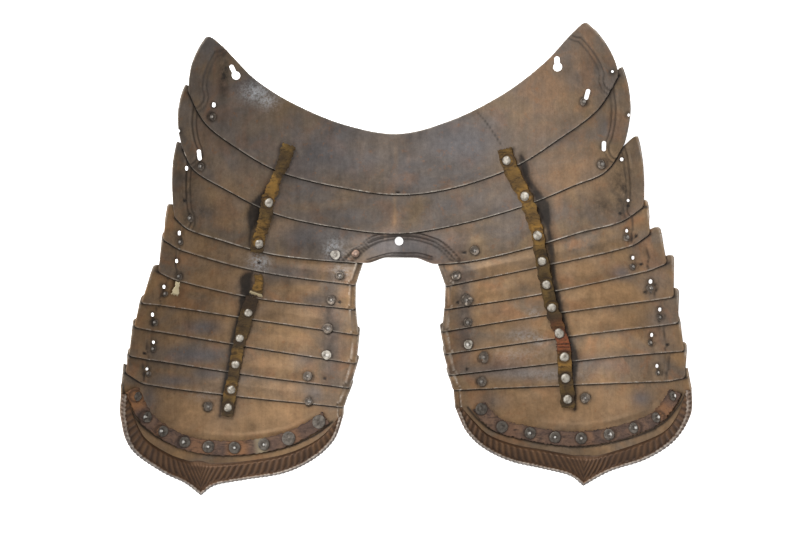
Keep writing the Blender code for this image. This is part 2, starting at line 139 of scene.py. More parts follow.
def smooth_level(points, x):
    """Levels at x on the fair curve through points of uneven spacing."""
    points = np.array(sorted(points), float)
    last = len(points) - 1
    start = np.clip(np.searchsorted(points[:, 0], x, side="right") - 1, 0, last - 1)
    x0, y0 = points[start].T
    x1, y1 = points[start + 1].T
    xb, yb = points[np.maximum(0, start - 1)].T
    xa, ya = points[np.minimum(last, start + 2)].T
    wide = x1 - x0
    slope0, slope1 = (y1 - yb) / (x1 - xb), (ya - y0) / (xa - x0)
    part = (x - x0) / wide
    return (y0 * (1 + 2 * part) * (1 - part) ** 2 + slope0 * wide * part * (1 - part) ** 2
            + y1 * part**2 * (3 - 2 * part) + slope1 * wide * part**2 * (part - 1))


def evenly(points, step):
    """Points about one step apart along the fair curve."""
    fine = smooth_line(points, np.linspace(0, 1, CURVE_POINTS))
    reached = np.concatenate([[0], np.cumsum(np.linalg.norm(np.diff(fine, axis=0), axis=1))])
    count = max(1, round(reached[-1] / step))
    goal = np.linspace(0, reached[-1], count + 1)
    return np.stack([np.interp(goal, reached, column) for column in fine.T], axis=1)


# %% [markdown]
# ## The plates' outlines
#
# The tables give where each plate's lower edge runs, section by section. They are the same sizes
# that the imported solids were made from, so each fine plate lies exactly on its solid.

# %% Tables of the plates
OVERLAP, HIP_OVERLAP, ZONE = 9.0, 17.0, 10.0
FauldSection = namedtuple("FauldSection", "waist_x waist_y one_x one_y two_x two_y three_x three_y")
FAULD_SECTIONS = [
    FauldSection(-175, 206, -194, 152, -200, 100, -208, 37),
    FauldSection(-160, 193, -180, 125, -190, 81, -195, 26),
    FauldSection(-134, 167, -152, 103, -164, 65, -168, 17),
    FauldSection(-98, 145, -112, 81, -118, 42, -122, 4),
    FauldSection(-50, 126, -56, 67, -60, 29, -64, -3),
    FauldSection(0, 118, 0, 60, 0, 23, 0, -6),
    FauldSection(50, 131, 54, 67, 57, 32, 62, -4),
    FauldSection(97, 154, 109, 86, 118, 49, 124, 10),
    FauldSection(134, 181, 148, 110, 162, 67, 170, 24),
    FauldSection(156, 204, 184, 137, 192, 80, 205, 33),
    FauldSection(171, 218.5, 202, 167, 208, 104, 226, 47),
]
FauldPlate = namedtuple("FauldPlate", "name edge above left_step left_bow right_step right_bow zone")
FAULD_PLATES = [
    FauldPlate("fauld_plate_1", "one", "waist", 0, 5.5, 0, 5.5, ZONE),
    FauldPlate("fauld_plate_2", "two", "one", 2, 6, 2, 6.5, ZONE),
    FauldPlate("fauld_plate_3", "three", "two", 5, 4, 13, 3, HIP_OVERLAP),
]
ARCH_X, ARCH_HALF, ARCH_RISE, ARCH_STEEP = 2.0, 33.0, 6.0, 1.6

BEND_IN, CORNER_SHARE = 17.0, 0.14
LameEdge = namedtuple("LameEdge", "name outer_x outer_y bend_y keel_y inner_y inner_x corner")
EDGES = {
    "left": [
        LameEdge("hip", 213, 52, 42, 17, 6, 31, 0),
        LameEdge("lame_4", 219, 17, 7, -13, -26, 41, 0),
        LameEdge("lame_5", 224, -13, -21, -38, -49, 41, 0),
        LameEdge("lame_6", 240, -42, -44, -58, -73, 38, 6),
        LameEdge("lame_7", 247, -64, -68, -84, -100, 40, 0),
        LameEdge("lame_8", 252, -91, -95, -110, -123, 46, 0),
        LameEdge("lame_9", 255, -107, -118, -131, -141, 52, 0),
    ],
    "right": [
        LameEdge("hip", 228, 55, 49, 23, 6, 33, 0),
        LameEdge("lame_4", 232, 22, 11, -9, -27, 44, 0),
        LameEdge("lame_5", 247, -5, -12, -34, -49, 43, 11),
        LameEdge("lame_6", 254, -36, -39, -54, -70, 40, 6),
        LameEdge("lame_7", 259, -60, -63, -77, -91, 43, 4),
        LameEdge("lame_8", 265, -86, -88, -100, -111, 47, 0),
        LameEdge("lame_9", 266, -111, -115, -121, -125, 51, 0),
    ],
}
BorderSection = namedtuple("BorderSection", "rim_x rim_y rope_x rope_y")
BORDERS = {
    "left": [
        BorderSection(258, -126, 254, -128),
        BorderSection(259, -151, 248, -149),
        BorderSection(251, -180, 238, -170),
        BorderSection(225.5, -202, 218, -185),
        BorderSection(202, -214.5, 201, -192),
        BorderSection(188, -225.5, 189, -195),
        BorderSection(175, -216.5, 176, -195),
        BorderSection(146, -211, 147, -193),
        BorderSection(109, -204.5, 112, -187),
        BorderSection(80, -190.5, 86, -177),
        BorderSection(60.5, -171.5, 69, -165),
        BorderSection(52.7, -148.5, 58, -151),
    ],
    "right": [
        BorderSection(270, -122, 266, -123),
        BorderSection(270, -147, 260, -145),
        BorderSection(257, -172, 249, -162),
        BorderSection(232.5, -190.5, 228, -174),
        BorderSection(199.5, -203, 198, -185),
        BorderSection(175, -216.5, 176, -190),
        BorderSection(162, -207, 163, -187),
        BorderSection(134, -200, 137, -182),
        BorderSection(105, -193, 110, -177),
        BorderSection(80, -180.5, 86, -168),
        BorderSection(63.5, -164.5, 71.5, -155),
        BorderSection(53.5, -142.5, 59, -141),
    ],
}
CUSP_ROW, CUSP_SHARE = 5, 1 / 3
SIDES = {"left": -1, "right": 1}
print(len(FAULD_SECTIONS), "sections on the fauld,", len(BORDERS["left"]), "on each border")

# %% [markdown]
# ## Camera, floor and light
#
# The photograph looks straight down at the armour from a few metres away, so that it is almost flat
# in perspective. A long lens over the middle gives the same view. The floor is plain and white, and
# large soft lights keep the shadows faint, as in a studio cut-out.

# %% Camera
CAMERA_HIGH = 3.0
CAMERA_X, CAMERA_Y = -0.00475, -0.00464
SENSOR = 36.0
FRAME_WIDE = 0.76
camera_data = bpy.data.cameras.new("camera")
camera_data.sensor_width = SENSOR
camera_data.lens = SENSOR * CAMERA_HIGH / FRAME_WIDE
camera_data.clip_end = 20
camera = bpy.data.objects.new("camera", camera_data)
camera.location = (CAMERA_X, CAMERA_Y, CAMERA_HIGH)
bpy.context.scene.collection.objects.link(camera)
bpy.context.scene.camera = camera
bpy.context.scene.view_settings.view_transform = "Standard"
print("lens:", round(camera_data.lens, 1), "mm")

# %% [markdown]
# ## A helper for materials
#
# A node material is a small tree of boxes and wires. A class that adds one box with each call keeps
# every finish below down to a few lines, which read in the order in which the surface is built up.

# %% A helper for materials
class Finish:
    """A material whose nodes are added one line at a time."""

    def __init__(self, name, **shader):
        self.material = bpy.data.materials.new(name)
        self.material.use_nodes = True
        self.tree = self.material.node_tree
        self.shader = self.tree.nodes["Principled BSDF"]
        for socket, value in shader.items():
            self.shader.inputs[socket.replace("_", " ").title().replace("Ior", "IOR")].default_value = value
        self.place = self.tree.nodes.new("ShaderNodeTexCoord").outputs["Object"]

    def add(self, kind, inputs=None, **settings):
        made = self.tree.nodes.new("ShaderNode" + kind)
        for name, value in settings.items():
            setattr(made, name, value)
        for socket, value in (inputs or {}).items():
            if isinstance(value, bpy.types.NodeSocket):
                self.tree.links.new(value, made.inputs[socket])
            else:
                made.inputs[socket].default_value = value
        return made

    def set(self, socket, value):
        self.tree.links.new(value, self.shader.inputs[socket])

    def noise(self, scale, detail, stretch=(1, 1, 1), rough=0.55, warp=0.0, turn=None):
        """A noise value. A turn is a number that moves the whole pattern to another one."""
        mapped = self.add("Mapping", {"Vector": self.place, "Scale": stretch})
        inputs = {"Vector": mapped.outputs[0], "Scale": scale, "Detail": detail, "Roughness": rough,
                  "Distortion": warp}
        if turn is None:
            return self.add("TexNoise", inputs).outputs["Fac"]
        return self.add("TexNoise", {**inputs, "W": turn}, noise_dimensions="4D").outputs["Fac"]

    def ramp(self, value, *stops):
        made = self.add("ValToRGB", {"Fac": value})
        marks = made.color_ramp.elements
        while len(marks) < len(stops):
            marks.new(0.5)
        for mark, (place, colour) in zip(marks, stops):
            mark.position = place
            mark.color = (*colour, 1)
        return made.outputs["Color"]

    def level(self, value, low, high, start=0.0, end=1.0):
        made = self.add("MapRange", {"Value": value, 1: low, 2: high, 3: start, 4: end}, clamp=True)
        return made.outputs[0]

    def blend(self, share, first, second, kind="MIX"):
        first, second = (
            value if isinstance(value, bpy.types.NodeSocket) else (*value, 1) for value in (first, second)
        )
        made = self.add("Mix", {0: share, 6: first, 7: second}, data_type="RGBA", blend_type=kind)
        return made.outputs[2]

    def sum(self, kind, first, second):
        return self.add("Math", {0: first, 1: second}, operation=kind).outputs[0]

    def painted(self, name):
        return self.add("Attribute", attribute_name=name).outputs["Fac"]

    def bump(self, height, distance, strength, over=None):
        inputs = {"Height": height, "Distance": distance, "Strength": strength}
        if over:
            inputs["Normal"] = over
        return self.add("Bump", inputs).outputs[0]


# %% [markdown]
# The floor gives off a little light of its own, so that it stays white under the soft lamps. The
# strongest lamp stands above the waist, and its light falls into the hollows from there.

# %% Floor and lights
floor_finish = Finish(
    "floor_white", base_color=(0.93, 0.93, 0.93, 1), roughness=0.9,
    emission_color=(1, 1, 1, 1), emission_strength=0.9,
)
FLOOR_SIZE = 6.0
floor_shape = bmesh.new()
bmesh.ops.create_grid(floor_shape, x_segments=1, y_segments=1, size=FLOOR_SIZE / 2)
floor_mesh = bpy.data.meshes.new("floor")
floor_shape.to_mesh(floor_mesh)
floor_shape.free()
floor_mesh.materials.append(floor_finish.material)
floor = bpy.data.objects.new("floor", floor_mesh)
bpy.context.scene.collection.objects.link(floor)

Lamp = namedtuple("Lamp", "name x y z size watts")
LAMPS = [
    Lamp("key", -0.45, 1.0, 1.45, 0.75, 31),
    Lamp("left_fill", -1.6, -0.2, 1.25, 1.2, 19),
    Lamp("right_fill", 1.6, -0.2, 1.5, 1.2, 6),
    Lamp("low_fill", 0.0, -1.7, 1.5, 1.2, 9),
]
for lamp in LAMPS:
    data = bpy.data.lights.new(lamp.name, "AREA")
    data.size = lamp.size
    data.energy = lamp.watts
    light = bpy.data.objects.new(lamp.name, data)
    light.location = (lamp.x, lamp.y, lamp.z)
    light.rotation_euler = (-light.location).to_track_quat("-Z", "Y").to_euler()
    bpy.context.scene.collection.objects.link(light)

world = bpy.data.worlds.new("studio")
bpy.context.scene.world = world
world.use_nodes = True
sky = world.node_tree.nodes["Background"]
sky.inputs["Color"].default_value = (1, 1, 1, 1)
sky.inputs["Strength"].default_value = 0.42
print(len(LAMPS), "soft lights and a white floor")

# %% [markdown]
# ## Stained steel
#
# The steel has gone brown with age: warmer where it was handled, blue-grey where it was cleaned,
# nearly black where rust sat on it, and bright on worn edges. Painted shade darkens it under each
# plate's edge, beside raised lines and beside the straps, and painted highlights lighten its edges and
# some wide regions. Broad noise mixes the browns. What belongs to a place, such as a worn edge, a
# stain or painted shade, is painted on each plate's points as a number that the material reads, so
# that it stays with the plate in an export too.

# %% Steel
OWN_PATTERNS, RUDDY_TURN, STEEL_ROUGHNESS = 9.0, 31.0, 0.48
RUDDY = (1.02, 0.82, 0.78)
BLUE_GREY, TAN, RUST = (0.079, 0.073, 0.074), (0.192, 0.114, 0.056), (0.16, 0.070, 0.028)
CHALK, GRIME_AND_SHADE_DARK, PIT_DARK = (0.30, 0.31, 0.32), (0.020, 0.015, 0.011), (0.022, 0.016, 0.012)
PAINTED_SHADE_DARK, WORN_EDGE_AND_HIGHLIGHT, NICKED = (0.012, 0.009, 0.007), (0.42, 0.37, 0.31), (0.62, 0.58, 0.52)


def steel(name, brown, warm, cool):
    """Brown steel. The painted numbers are own, edge, seam, grime, cool, warm, pale and light."""
    finish = Finish(name, metallic=0.4, specular_ior_level=0.3)
    own = finish.level(finish.painted("own"), 0, 1, 0, OWN_PATTERNS)
    broad = finish.noise(17, 4, stretch=(1, 1.25, 1), rough=0.5, warp=0.9, turn=own)
    patch = finish.noise(45, 5, rough=0.6, warp=0.5, turn=own)
    blotch = finish.noise(105, 6, rough=0.65, warp=0.3, turn=own)
    grain = finish.noise(330, 5, rough=0.8)
    strokes = finish.noise(190, 4, stretch=(1, 0.06, 0.3), rough=0.7)

    # The browns, and what is painted warm or cool
    colour = finish.ramp(broad, (0.36, cool), (0.5, brown), (0.64, warm))
    ruddy = finish.noise(27, 3, warp=1.4, turn=finish.sum("ADD", own, RUDDY_TURN))
    ruddy_tone = [part * share for part, share in zip(warm, RUDDY)]
    colour = finish.blend(finish.level(ruddy, 0.5, 0.66, 0, 0.6), colour, ruddy_tone)
    colour = finish.blend(finish.painted("warm"), colour, TAN)
    colour = finish.blend(finish.painted("cool"), colour, BLUE_GREY)

    # Mottling at four scales, each from a lowest to a highest share of the colour
    mottling = ((patch, 0.74, 1.26), (blotch, 0.82, 1.18), (grain, 0.8, 1.18), (strokes, 0.88, 1.12))
    for noise, low, high in mottling:
        colour = finish.blend(1.0, colour, finish.level(noise, 0.28, 0.72, low, high), "MULTIPLY")
    # Painted light: the light numbers brighten wide regions as if more light fell there.
    painted_light = finish.level(finish.painted("light"), 0, 1, 1, 1.7)
    colour = finish.blend(1.0, colour, painted_light, "MULTIPLY")

    # Rust, pale scuffs, dirt mixed with painted shade, pits, painted shade under the edges and beside
    # raised lines, and worn edges that are also painted as highlights
    rust = finish.level(finish.noise(150, 6, rough=0.7), 0.58, 0.7, 0, 0.5)
    colour = finish.blend(rust, colour, RUST)
    chalk = finish.sum("MULTIPLY", finish.painted("pale"), finish.level(grain, 0.42, 0.58, 0.15, 1))
    colour = finish.blend(chalk, colour, CHALK)
    torn = finish.level(finish.noise(120, 6, rough=0.7), 0.34, 0.6, 0.2, 1.1)
    dirt_and_shade = finish.sum("MULTIPLY", finish.painted("grime"), torn)
    colour = finish.blend(dirt_and_shade, colour, GRIME_AND_SHADE_DARK)
    pits = finish.level(finish.noise(330, 3, rough=0.7), 0.7, 0.76, 0, 0.7)
    colour = finish.blend(pits, colour, PIT_DARK)
    painted_seam_shade = finish.sum("MULTIPLY", finish.painted("seam"), finish.level(blotch, 0.3, 0.5, 0.72, 1))
    colour = finish.blend(painted_seam_shade, colour, PAINTED_SHADE_DARK)
    worn = finish.level(finish.noise(150, 4, rough=0.6), 0.36, 0.58, 0.1, 1)
    colour = finish.blend(finish.sum("MULTIPLY", finish.painted("edge"), worn), colour, WORN_EDGE_AND_HIGHLIGHT)
    nicks = finish.level(finish.noise(290, 5, rough=0.7, warp=0.6), 0.57, 0.66, 0, 1.1)
    colour = finish.blend(finish.sum("MULTIPLY", finish.painted("edge"), nicks), colour, NICKED)
    finish.set("Base Color", colour)

    gloss = finish.level(patch, 0.3, 0.7, STEEL_ROUGHNESS - 0.08, STEEL_ROUGHNESS + 0.12)
    finish.set("Roughness", finish.sum("ADD", gloss, finish.level(dirt_and_shade, 0, 1, 0, 0.25)))
    surface = finish.bump(patch, 0.0009, 0.35)
    surface = finish.bump(strokes, 0.00025, 0.4, surface)
    surface = finish.bump(grain, 0.00025, 0.5, surface)
    finish.set("Normal", surface)
    return finish.material


fauld_steel = steel("fauld_steel", (0.094, 0.070, 0.051), (0.126, 0.084, 0.047), (0.079, 0.066, 0.058))
tasset_steel = steel("tasset_steel", (0.134, 0.086, 0.048), (0.174, 0.103, 0.048), (0.104, 0.077, 0.055))
print("steel:", fauld_steel.name, tasset_steel.name)

# %% [markdown]
# ## Relief and stains on the plates
#
# Raised lines run round the arch, along the ends of the lames and above the lining of the terminal
# plates. Each is a fair curve, and a point's height depends only on how far it lies from the curve.
# A tree of points finds that distance quickly. Stains, pale patches and painted pools of light work
# the same way from a short table of soft spots.

# %% Distances
def tree_of(line):
    tree = kdtree.KDTree(len(line))
    for index, spot in enumerate(line):
        tree.insert((spot[0], spot[1], 0), index)
    tree.balance()
    return tree


def distance(tree, x, y):
    """Distances from each place to the nearest point of the tree."""
    flat = [tree.find((a, b, 0))[2] for a, b in zip(x.ravel(), y.ravel())]
    return np.array(flat).reshape(x.shape)


# %% Raised lines
Ridge = namedtuple("Ridge", "plate path height width")
ARCH_OUTER = [(-56, -3), (-47, 5), (-36, 10), (-28, 17), (-18, 21), (0, 23), (17, 22), (36, 16),
              (48, 7), (56, -2)]
ARCH_INNER = [(-47, -4), (-38, 5), (-27, 13), (-12, 18), (9, 19), (26, 16), (39, 10), (50, -1)]
ARCH_LIP = [(-30, -3), (-20, 0), (-8, 3), (4, 3), (18, 3), (30, 0)]
FORGE_LINE = [(75, 137), (82, 129), (90, 117), (97, 106)]
LINING_RIDGE = {
    "left": [(-240, -128), (-230, -144), (-215, -154), (-196, -163), (-175, -168), (-150, -169),
             (-124, -166), (-100, -160), (-80, -149)],
    "right": [(82, -135), (92, -144), (104, -150), (126, -154), (150, -158), (174, -159),
              (198, -155), (220, -148), (236, -140), (247, -126)],
}
CHANNEL_FOOT = {
    "left": [(-257, -118), (-254, -135), (-246, -151), (-232, -166), (-212, -177), (-187, -185.5),
             (-160, -187.5), (-132, -185), (-104, -178.5), (-80, -168), (-63, -155)],
    "right": [(65, -141), (76, -154), (90, -164), (108, -169.5), (130, -174.5), (152, -178), (176, -179),
              (202, -175), (226, -167.5), (246, -156), (259, -140), (265, -128)],
}
RIDGES = [
    Ridge("fauld_plate_3", ARCH_OUTER, 1.3, 1.1),
    Ridge("fauld_plate_3", ARCH_INNER, 1.2, 1.1),
    Ridge("fauld_plate_3", ARCH_LIP, 1.0, 1.0),
    Ridge("fauld_plate_1", FORGE_LINE, -0.4, 0.8),
]
for word in SIDES:
    RIDGES.append(Ridge(f"{word}_terminal", LINING_RIDGE[word], 0.6, 2.0))
    RIDGES.append(Ridge(f"{word}_terminal", CHANNEL_FOOT[word], -0.5, 0.9))

# %% Soft spots
# Under the name of what is painted, each row is a soft spot: where it lies, how far it reaches along
# x and along y, and how strong it is.
Spot = namedtuple("Spot", "x y wide tall strength")
SPOTS = {
    "warm": [
        (140, 152, 34, 40, 0.45), (165, 180, 18, 26, 0.25), (124, 140, 5, 34, 0.5),
        (-3, 95, 1.6, 12, 0.7), (-4, 42, 1.8, 14, 0.8), (-13, 20, 1.4, 3.4, 1.0),
        (-36, 100, 4, 10, 0.6), (158, 75, 46, 30, 0.55), (-160, 60, 26, 18, 0.45),
        (-165, 34, 22, 8, 0.35), (-112, 28, 22, 9, 0.6), (-180, 2, 30, 12, 0.35),
        (-175, -22, 30, 10, 0.75), (-100, -30, 24, 9, 0.55), (-168, -48, 18, 8, 0.75),
        (-205, -50, 22, 8, 0.3), (-95, -54, 40, 10, 0.55), (-167, -72, 8, 10, 0.85),
        (-100, -76, 40, 9, 0.4), (-212, -76, 16, 8, 0.8), (-115, -98, 24, 8, 0.8),
        (-112, -122, 22, 8, 0.7), (-195, -145, 50, 26, 0.95), (-120, -148, 44, 22, 0.9),
        (85, -38, 26, 8, 0.9), (100, -14, 26, 9, 0.6), (170, -8, 28, 9, 0.8),
        (190, -34, 34, 9, 0.8), (105, -62, 40, 9, 0.5), (195, -58, 30, 9, 0.8),
        (100, -84, 34, 9, 0.6), (210, -80, 30, 9, 0.4), (160, -142, 66, 24, 0.95),
    ],
    "cool": [
        (-140, 162, 24, 18, 0.6), (-60, 95, 90, 30, 0.75), (60, 108, 60, 26, 0.9),
        (-150, 130, 34, 24, 0.35), (-160, 90, 40, 22, 0.35), (-60, 45, 60, 14, 0.35),
        (80, 50, 50, 24, 0.3), (-90, 22, 34, 14, 0.7), (0, 12, 46, 14, 0.9),
        (-105, -14, 34, 8, 0.6), (-145, -30, 14, 14, 0.5), (-78, -40, 14, 6, 0.6),
        (-135, -48, 12, 9, 0.3), (-185, -66, 18, 8, 0.85), (-190, -92, 34, 9, 0.9),
        (-90, -96, 12, 8, 0.5), (-212, -116, 24, 6, 0.75), (-180, -110, 20, 7, 0.7),
        (-150, -112, 18, 7, 0.4), (-80, -128, 10, 9, 0.6), (-165, -140, 16, 22, 0.25),
        (-235, -132, 8, 14, 0.7), (208, -14, 10, 7, 0.8), (105, -108, 50, 8, 0.7),
        (190, -100, 36, 9, 0.45), (238, -20, 12, 24, 0.35), (244, -62, 12, 30, 0.35),
        (62, -50, 8, 50, 0.6), (-64, -70, 9, 60, 0.6), (228, -132, 10, 8, 0.8),
        (88, -136, 16, 8, 0.4),
    ],
    "grime": [
        (-163, 170, 5.5, 22, 1.0), (-185, 170, 18, 30, 0.3), (0, 46, 80, 16, 0.2),
        (206, 62, 12, 30, 0.75), (190, 48, 16, 14, 0.6), (176, 42, 14, 12, 0.35),
        (-196, 66, 12, 26, 0.6), (-183, 44, 16, 12, 0.55), (60, -40, 9, 60, 0.5),
        (-66, -60, 9, 70, 0.5),
    ],
    "pale": [
        (-134, 155, 12, 8, 0.95), (-124, 148, 9, 7, 0.8), (-62, 8, 8, 9, 0.9),
        (-132, -4, 9, 8, 0.75), (-56, -14, 10, 8, 0.5), (-185, -130, 12, 6, 0.2),
        (118, -74, 14, 6, 0.35), (132, -78, 9, 4, 0.55), (112, -92, 24, 8, 0.2),
        (128, -52, 8, 5, 0.3), (150, -112, 40, 5, 0.2),
    ],
    # Under light, the two wide spots are painted light that brightens the right tasset and the left
    # terminal; the small one lightens a thread's mark.
    "light": [(-13, 20, 1.4, 3.4, 0.8), (-160, -146, 70, 26, 0.16), (160, -46, 115, 84, 0.5)],
}
# Each strap's shadow on its outer side is painted dark on the plates: its middle line and half
# its width.
StrapShadowMark = namedtuple("StrapShadowMark", "x y half")
STRAP_SHADOWS = [
    [(-121, 68, 0.6), (-130, 58, 2), (-135, 46, 6), (-137, 38, 5.5), (-139, 26, 1.8), (-141, 12, 0.8)],
    [(-139, -14, 1.2), (-144, -20, 5.5), (-145, -30, 4.5), (-147, -40, 4), (-150, -50, 2.2),
     (-157, -76, 2.4), (-161, -100, 2.2), (-166, -124, 2), (-170, -150, 1)],
    [(115, 96, 1.5), (118, 87, 3.6), (122, 73, 2.5), (131, 58, 3.5), (135, 49, 6), (138, 39, 4.5),
     (141, 25, 1.8), (143, 9, 3), (145, -8, 2.2), (147, -22, 2), (150, -40, 3.2), (156, -60, 2.8),
     (161, -78, 3), (166, -94, 4), (166, -106, 3), (166.5, -118, 1.4), (167, -144, 1.2)],
]
STRAP_SHADOWS = [[StrapShadowMark(*mark) for mark in shadow_line] for shadow_line in STRAP_SHADOWS]
print(len(RIDGES), "raised lines,", sum(map(len, SPOTS.values())), "soft spots,", len(STRAP_SHADOWS), "painted_strap_shadows")

# %% [markdown]
# Hammering leaves a plate very slightly uneven. A few waves in fixed directions, added together,
# give such a surface without a texture, and the same one on every run.

# %% Uneven surface
WAVE_COUNT, WAVE_HIGH = 9, 0.09
wave_draws = np.random.default_rng(7)
wave_turn = wave_draws.uniform(0, 2 * math.pi, WAVE_COUNT)
wave_long = wave_draws.uniform(13, 46, WAVE_COUNT)
wave_start = wave_draws.uniform(0, 2 * math.pi, WAVE_COUNT)


def uneven(x, y):
    total = np.zeros_like(x, dtype=float)
    for turn, length, start in zip(wave_turn, wave_long, wave_start):
        along = x * math.cos(turn) + y * math.sin(turn)
        total += np.sin(2 * math.pi * along / length + start)
    return total * WAVE_HIGH / 2


# %% [markdown]
# ## Making a shell
#
# A plate starts as Blender's own grid. Its points are laid over the hollow, Solidify gives it the
# wall, a small Bevel rounds its edges, and a Boolean punches its holes. The finished mesh is taken
# from the modifiers, so nothing is left to evaluate later.

# %% A home for the pieces
MERGE = 1e-6
pieces = bpy.data.collections.new("dressed_pieces")
bpy.context.scene.collection.children.link(pieces)


def add_piece(name, mesh):
    made = bpy.data.objects.new(name, mesh)
    pieces.objects.link(made)
    return made


# %% A painted grid
def paint(mesh, **layers):
    """Writes each number on the mesh's points, for a material to read."""
    for name, values in layers.items():
        layer = mesh.attributes.new(name, "FLOAT", "POINT")
        layer.data.foreach_set("value", np.clip(values, 0, 1).astype(np.float32))


def grid_mesh(name, points, close_rows=False, **layers):
    """A grid whose point at (column, row) goes to points[column, row], painted the same way."""
    columns, rows = points.shape[0] - 1, points.shape[1] - (0 if close_rows else 1)
    shape = bmesh.new()
    bmesh.ops.create_grid(shape, x_segments=columns, y_segments=rows, size=0.5)
    mesh = bpy.data.meshes.new(name)
    shape.to_mesh(mesh)
    shape.free()
    flat = np.empty(len(mesh.vertices) * 3)
    mesh.vertices.foreach_get("co", flat)
    flat = flat.reshape(-1, 3)
    column = np.rint((flat[:, 0] + 0.5) * columns).astype(int)
    row = np.rint((flat[:, 1] + 0.5) * rows).astype(int)
    if close_rows:
        row %= rows
    mesh.vertices.foreach_set("co", points[column, row].ravel())
    mesh.update()
    paint(mesh, **{layer: values[column, row] for layer, values in layers.items()})
    return mesh


# %% Cleaning and baking a mesh
def tidy(mesh, close_ends=False):
    """Merged doubles, closed ends if asked, and faces that point outwards."""
    shape = bmesh.new()
    shape.from_mesh(mesh)
    bmesh.ops.remove_doubles(shape, verts=shape.verts, dist=MERGE)
    if close_ends:
        bmesh.ops.holes_fill(shape, edges=shape.edges, sides=0)
    bmesh.ops.recalc_face_normals(shape, faces=shape.faces)
    shape.to_mesh(mesh)
    shape.free()
    return mesh


def smooth(mesh, sharp_from):
    """Smooth shading, with corners over so many degrees kept sharp."""
    mesh.shade_smooth()
    mesh.set_sharp_from_angle(angle=math.radians(sharp_from))


def baked(made):
    """The object with the mesh that its modifiers leave."""
    graph = bpy.context.evaluated_depsgraph_get()
    mesh = bpy.data.meshes.new_from_object(made.evaluated_get(graph))
    mesh.name = made.name
    old = made.data
    made.modifiers.clear()
    made.data = mesh
    bpy.data.meshes.remove(old)
    smooth(mesh, 35)
    return made


def joined(name, shapes):
    """One mesh from several bmeshes, which are freed."""
    mesh = bpy.data.meshes.new(name)
    whole = bmesh.new()
    for shape in shapes:
        part = bpy.data.meshes.new("part")
        shape.to_mesh(part)
        shape.free()
        whole.from_mesh(part)
        bpy.data.meshes.remove(part)
    whole.to_mesh(mesh)
    whole.free()
    return mesh


# %% Shell
def shell(name, points, wall, bevel=0.25, cutters=()):
    """A walled sheet through a table of points, with rounded edges and its holes cut."""
    made = add_piece(name, tidy(grid_mesh(name, points)))
    solid = made.modifiers.new("wall", "SOLIDIFY")
    solid.thickness = wall * MM
    solid.offset = 0
    round_edge = made.modifiers.new("round_edge", "BEVEL")
    round_edge.width = bevel * MM
    round_edge.segments = 2
    round_edge.limit_method = "ANGLE"
    round_edge.angle_limit = math.radians(50)
    for cutter in cutters:
        cut = made.modifiers.new(cutter.name, "BOOLEAN")
        cut.object = cutter
        cut.operation = "DIFFERENCE"
        cut.solver = "EXACT"
    return baked(made)


def points_of(made):
    """A mesh's points in the tables' millimetres."""
    flat = np.empty(len(made.data.vertices) * 3)
    made.data.vertices.foreach_get("co", flat)
    points = flat.reshape(-1, 3) / MM
    points[:, :2] += CENTRE
    return points


# %% [markdown]
# ## Holes
#
# Keyholes at the waist took turning pins, slots let the rivets slide, and some holes are empty.
# A punch is a round prism whose two halves are pulled apart for a slot. Punches that don't touch
# share one cutter, so that a plate is cut in one go.

# %% Punches
Punch = namedtuple("Punch", "x y width length turn")
PUNCHES = [
    (-152, 170, 7.6, 7.6, 0), (148, 178, 8.0, 8.0, 0), (0, 16, 8.0, 8.0, 0),
    (174.5, 151.5, 3.8, 10, -14), (-185.5, 95.5, 3.6, 10, 6), (190, 103.5, 3.8, 9.4, 0),
    (-172, 142, 3.0, 4.4, 0), (196, 171, 2.2, 2.2, 0), (211, 131, 2.0, 2.8, 0),
    (213, 117, 2.0, 3.4, 0), (-203, 117, 1.8, 2.4, 0), (-197, 83, 2.4, 4.2, 0),
    (206, 91, 3.0, 3.4, 0), (212, 53, 2.5, 2.6, 0), (-204, 23, 2.4, 4.2, 0),
    (-207, -3, 2.4, 3.6, 0), (-219, -27, 2.4, 3.4, 0), (-230, -53, 2.4, 3.6, 0),
    (-230, -79, 2.2, 2.8, 0), (-236, -104, 2.2, 2.4, 0), (211, 25, 2.4, 3.2, 0),
    (217, 0, 2.4, 3.4, 0), (233, -22, 3.0, 4.0, 0), (242, -48, 2.6, 3.6, 0),
    (236, -72, 2.4, 3.6, 0), (241, -101, 2.4, 3.4, 0),
]
KEYHOLE_SLOTS = [(-154.5, 175, 4.0, 10, 26), (147.5, 183, 4.8, 9.8, 5)]
PUNCHES = [Punch(*row) for row in PUNCHES]
KEYHOLE_SLOTS = [Punch(*row) for row in KEYHOLE_SLOTS]
PUNCH_TALL, PUNCH_SIDES = 70.0, 24


def punch_shape(punch):
    """A round prism over the punch's place, pulled to its length and turned."""
    shape = bmesh.new()
    radius = punch.width / 2 * MM
    bmesh.ops.create_cone(shape, cap_ends=True, segments=PUNCH_SIDES, radius1=radius, radius2=radius,
                          depth=PUNCH_TALL * MM)
    pull = (punch.length - punch.width) / 2 * MM
    for vert in shape.verts:
        vert.co.y += math.copysign(pull, vert.co.y + 1e-9)
    seat = Vector((punch.x - CENTRE[0], punch.y - CENTRE[1], float(rise(punch.x, punch.y)))) * MM
    place = Matrix.Translation(seat) @ Matrix.Rotation(math.radians(punch.turn), 4, "Z")
    bmesh.ops.transform(shape, matrix=place, verts=shape.verts)
    return shape


def cutter(name, punches):
    made = add_piece(name, joined(name, [punch_shape(punch) for punch in punches]))
    made.hide_render = True
    return made


hole_cutter = cutter("hole_cutter", PUNCHES)
slot_cutter = cutter("slot_cutter", KEYHOLE_SLOTS)
print(len(PUNCHES), "holes and", len(KEYHOLE_SLOTS), "keyhole slots")

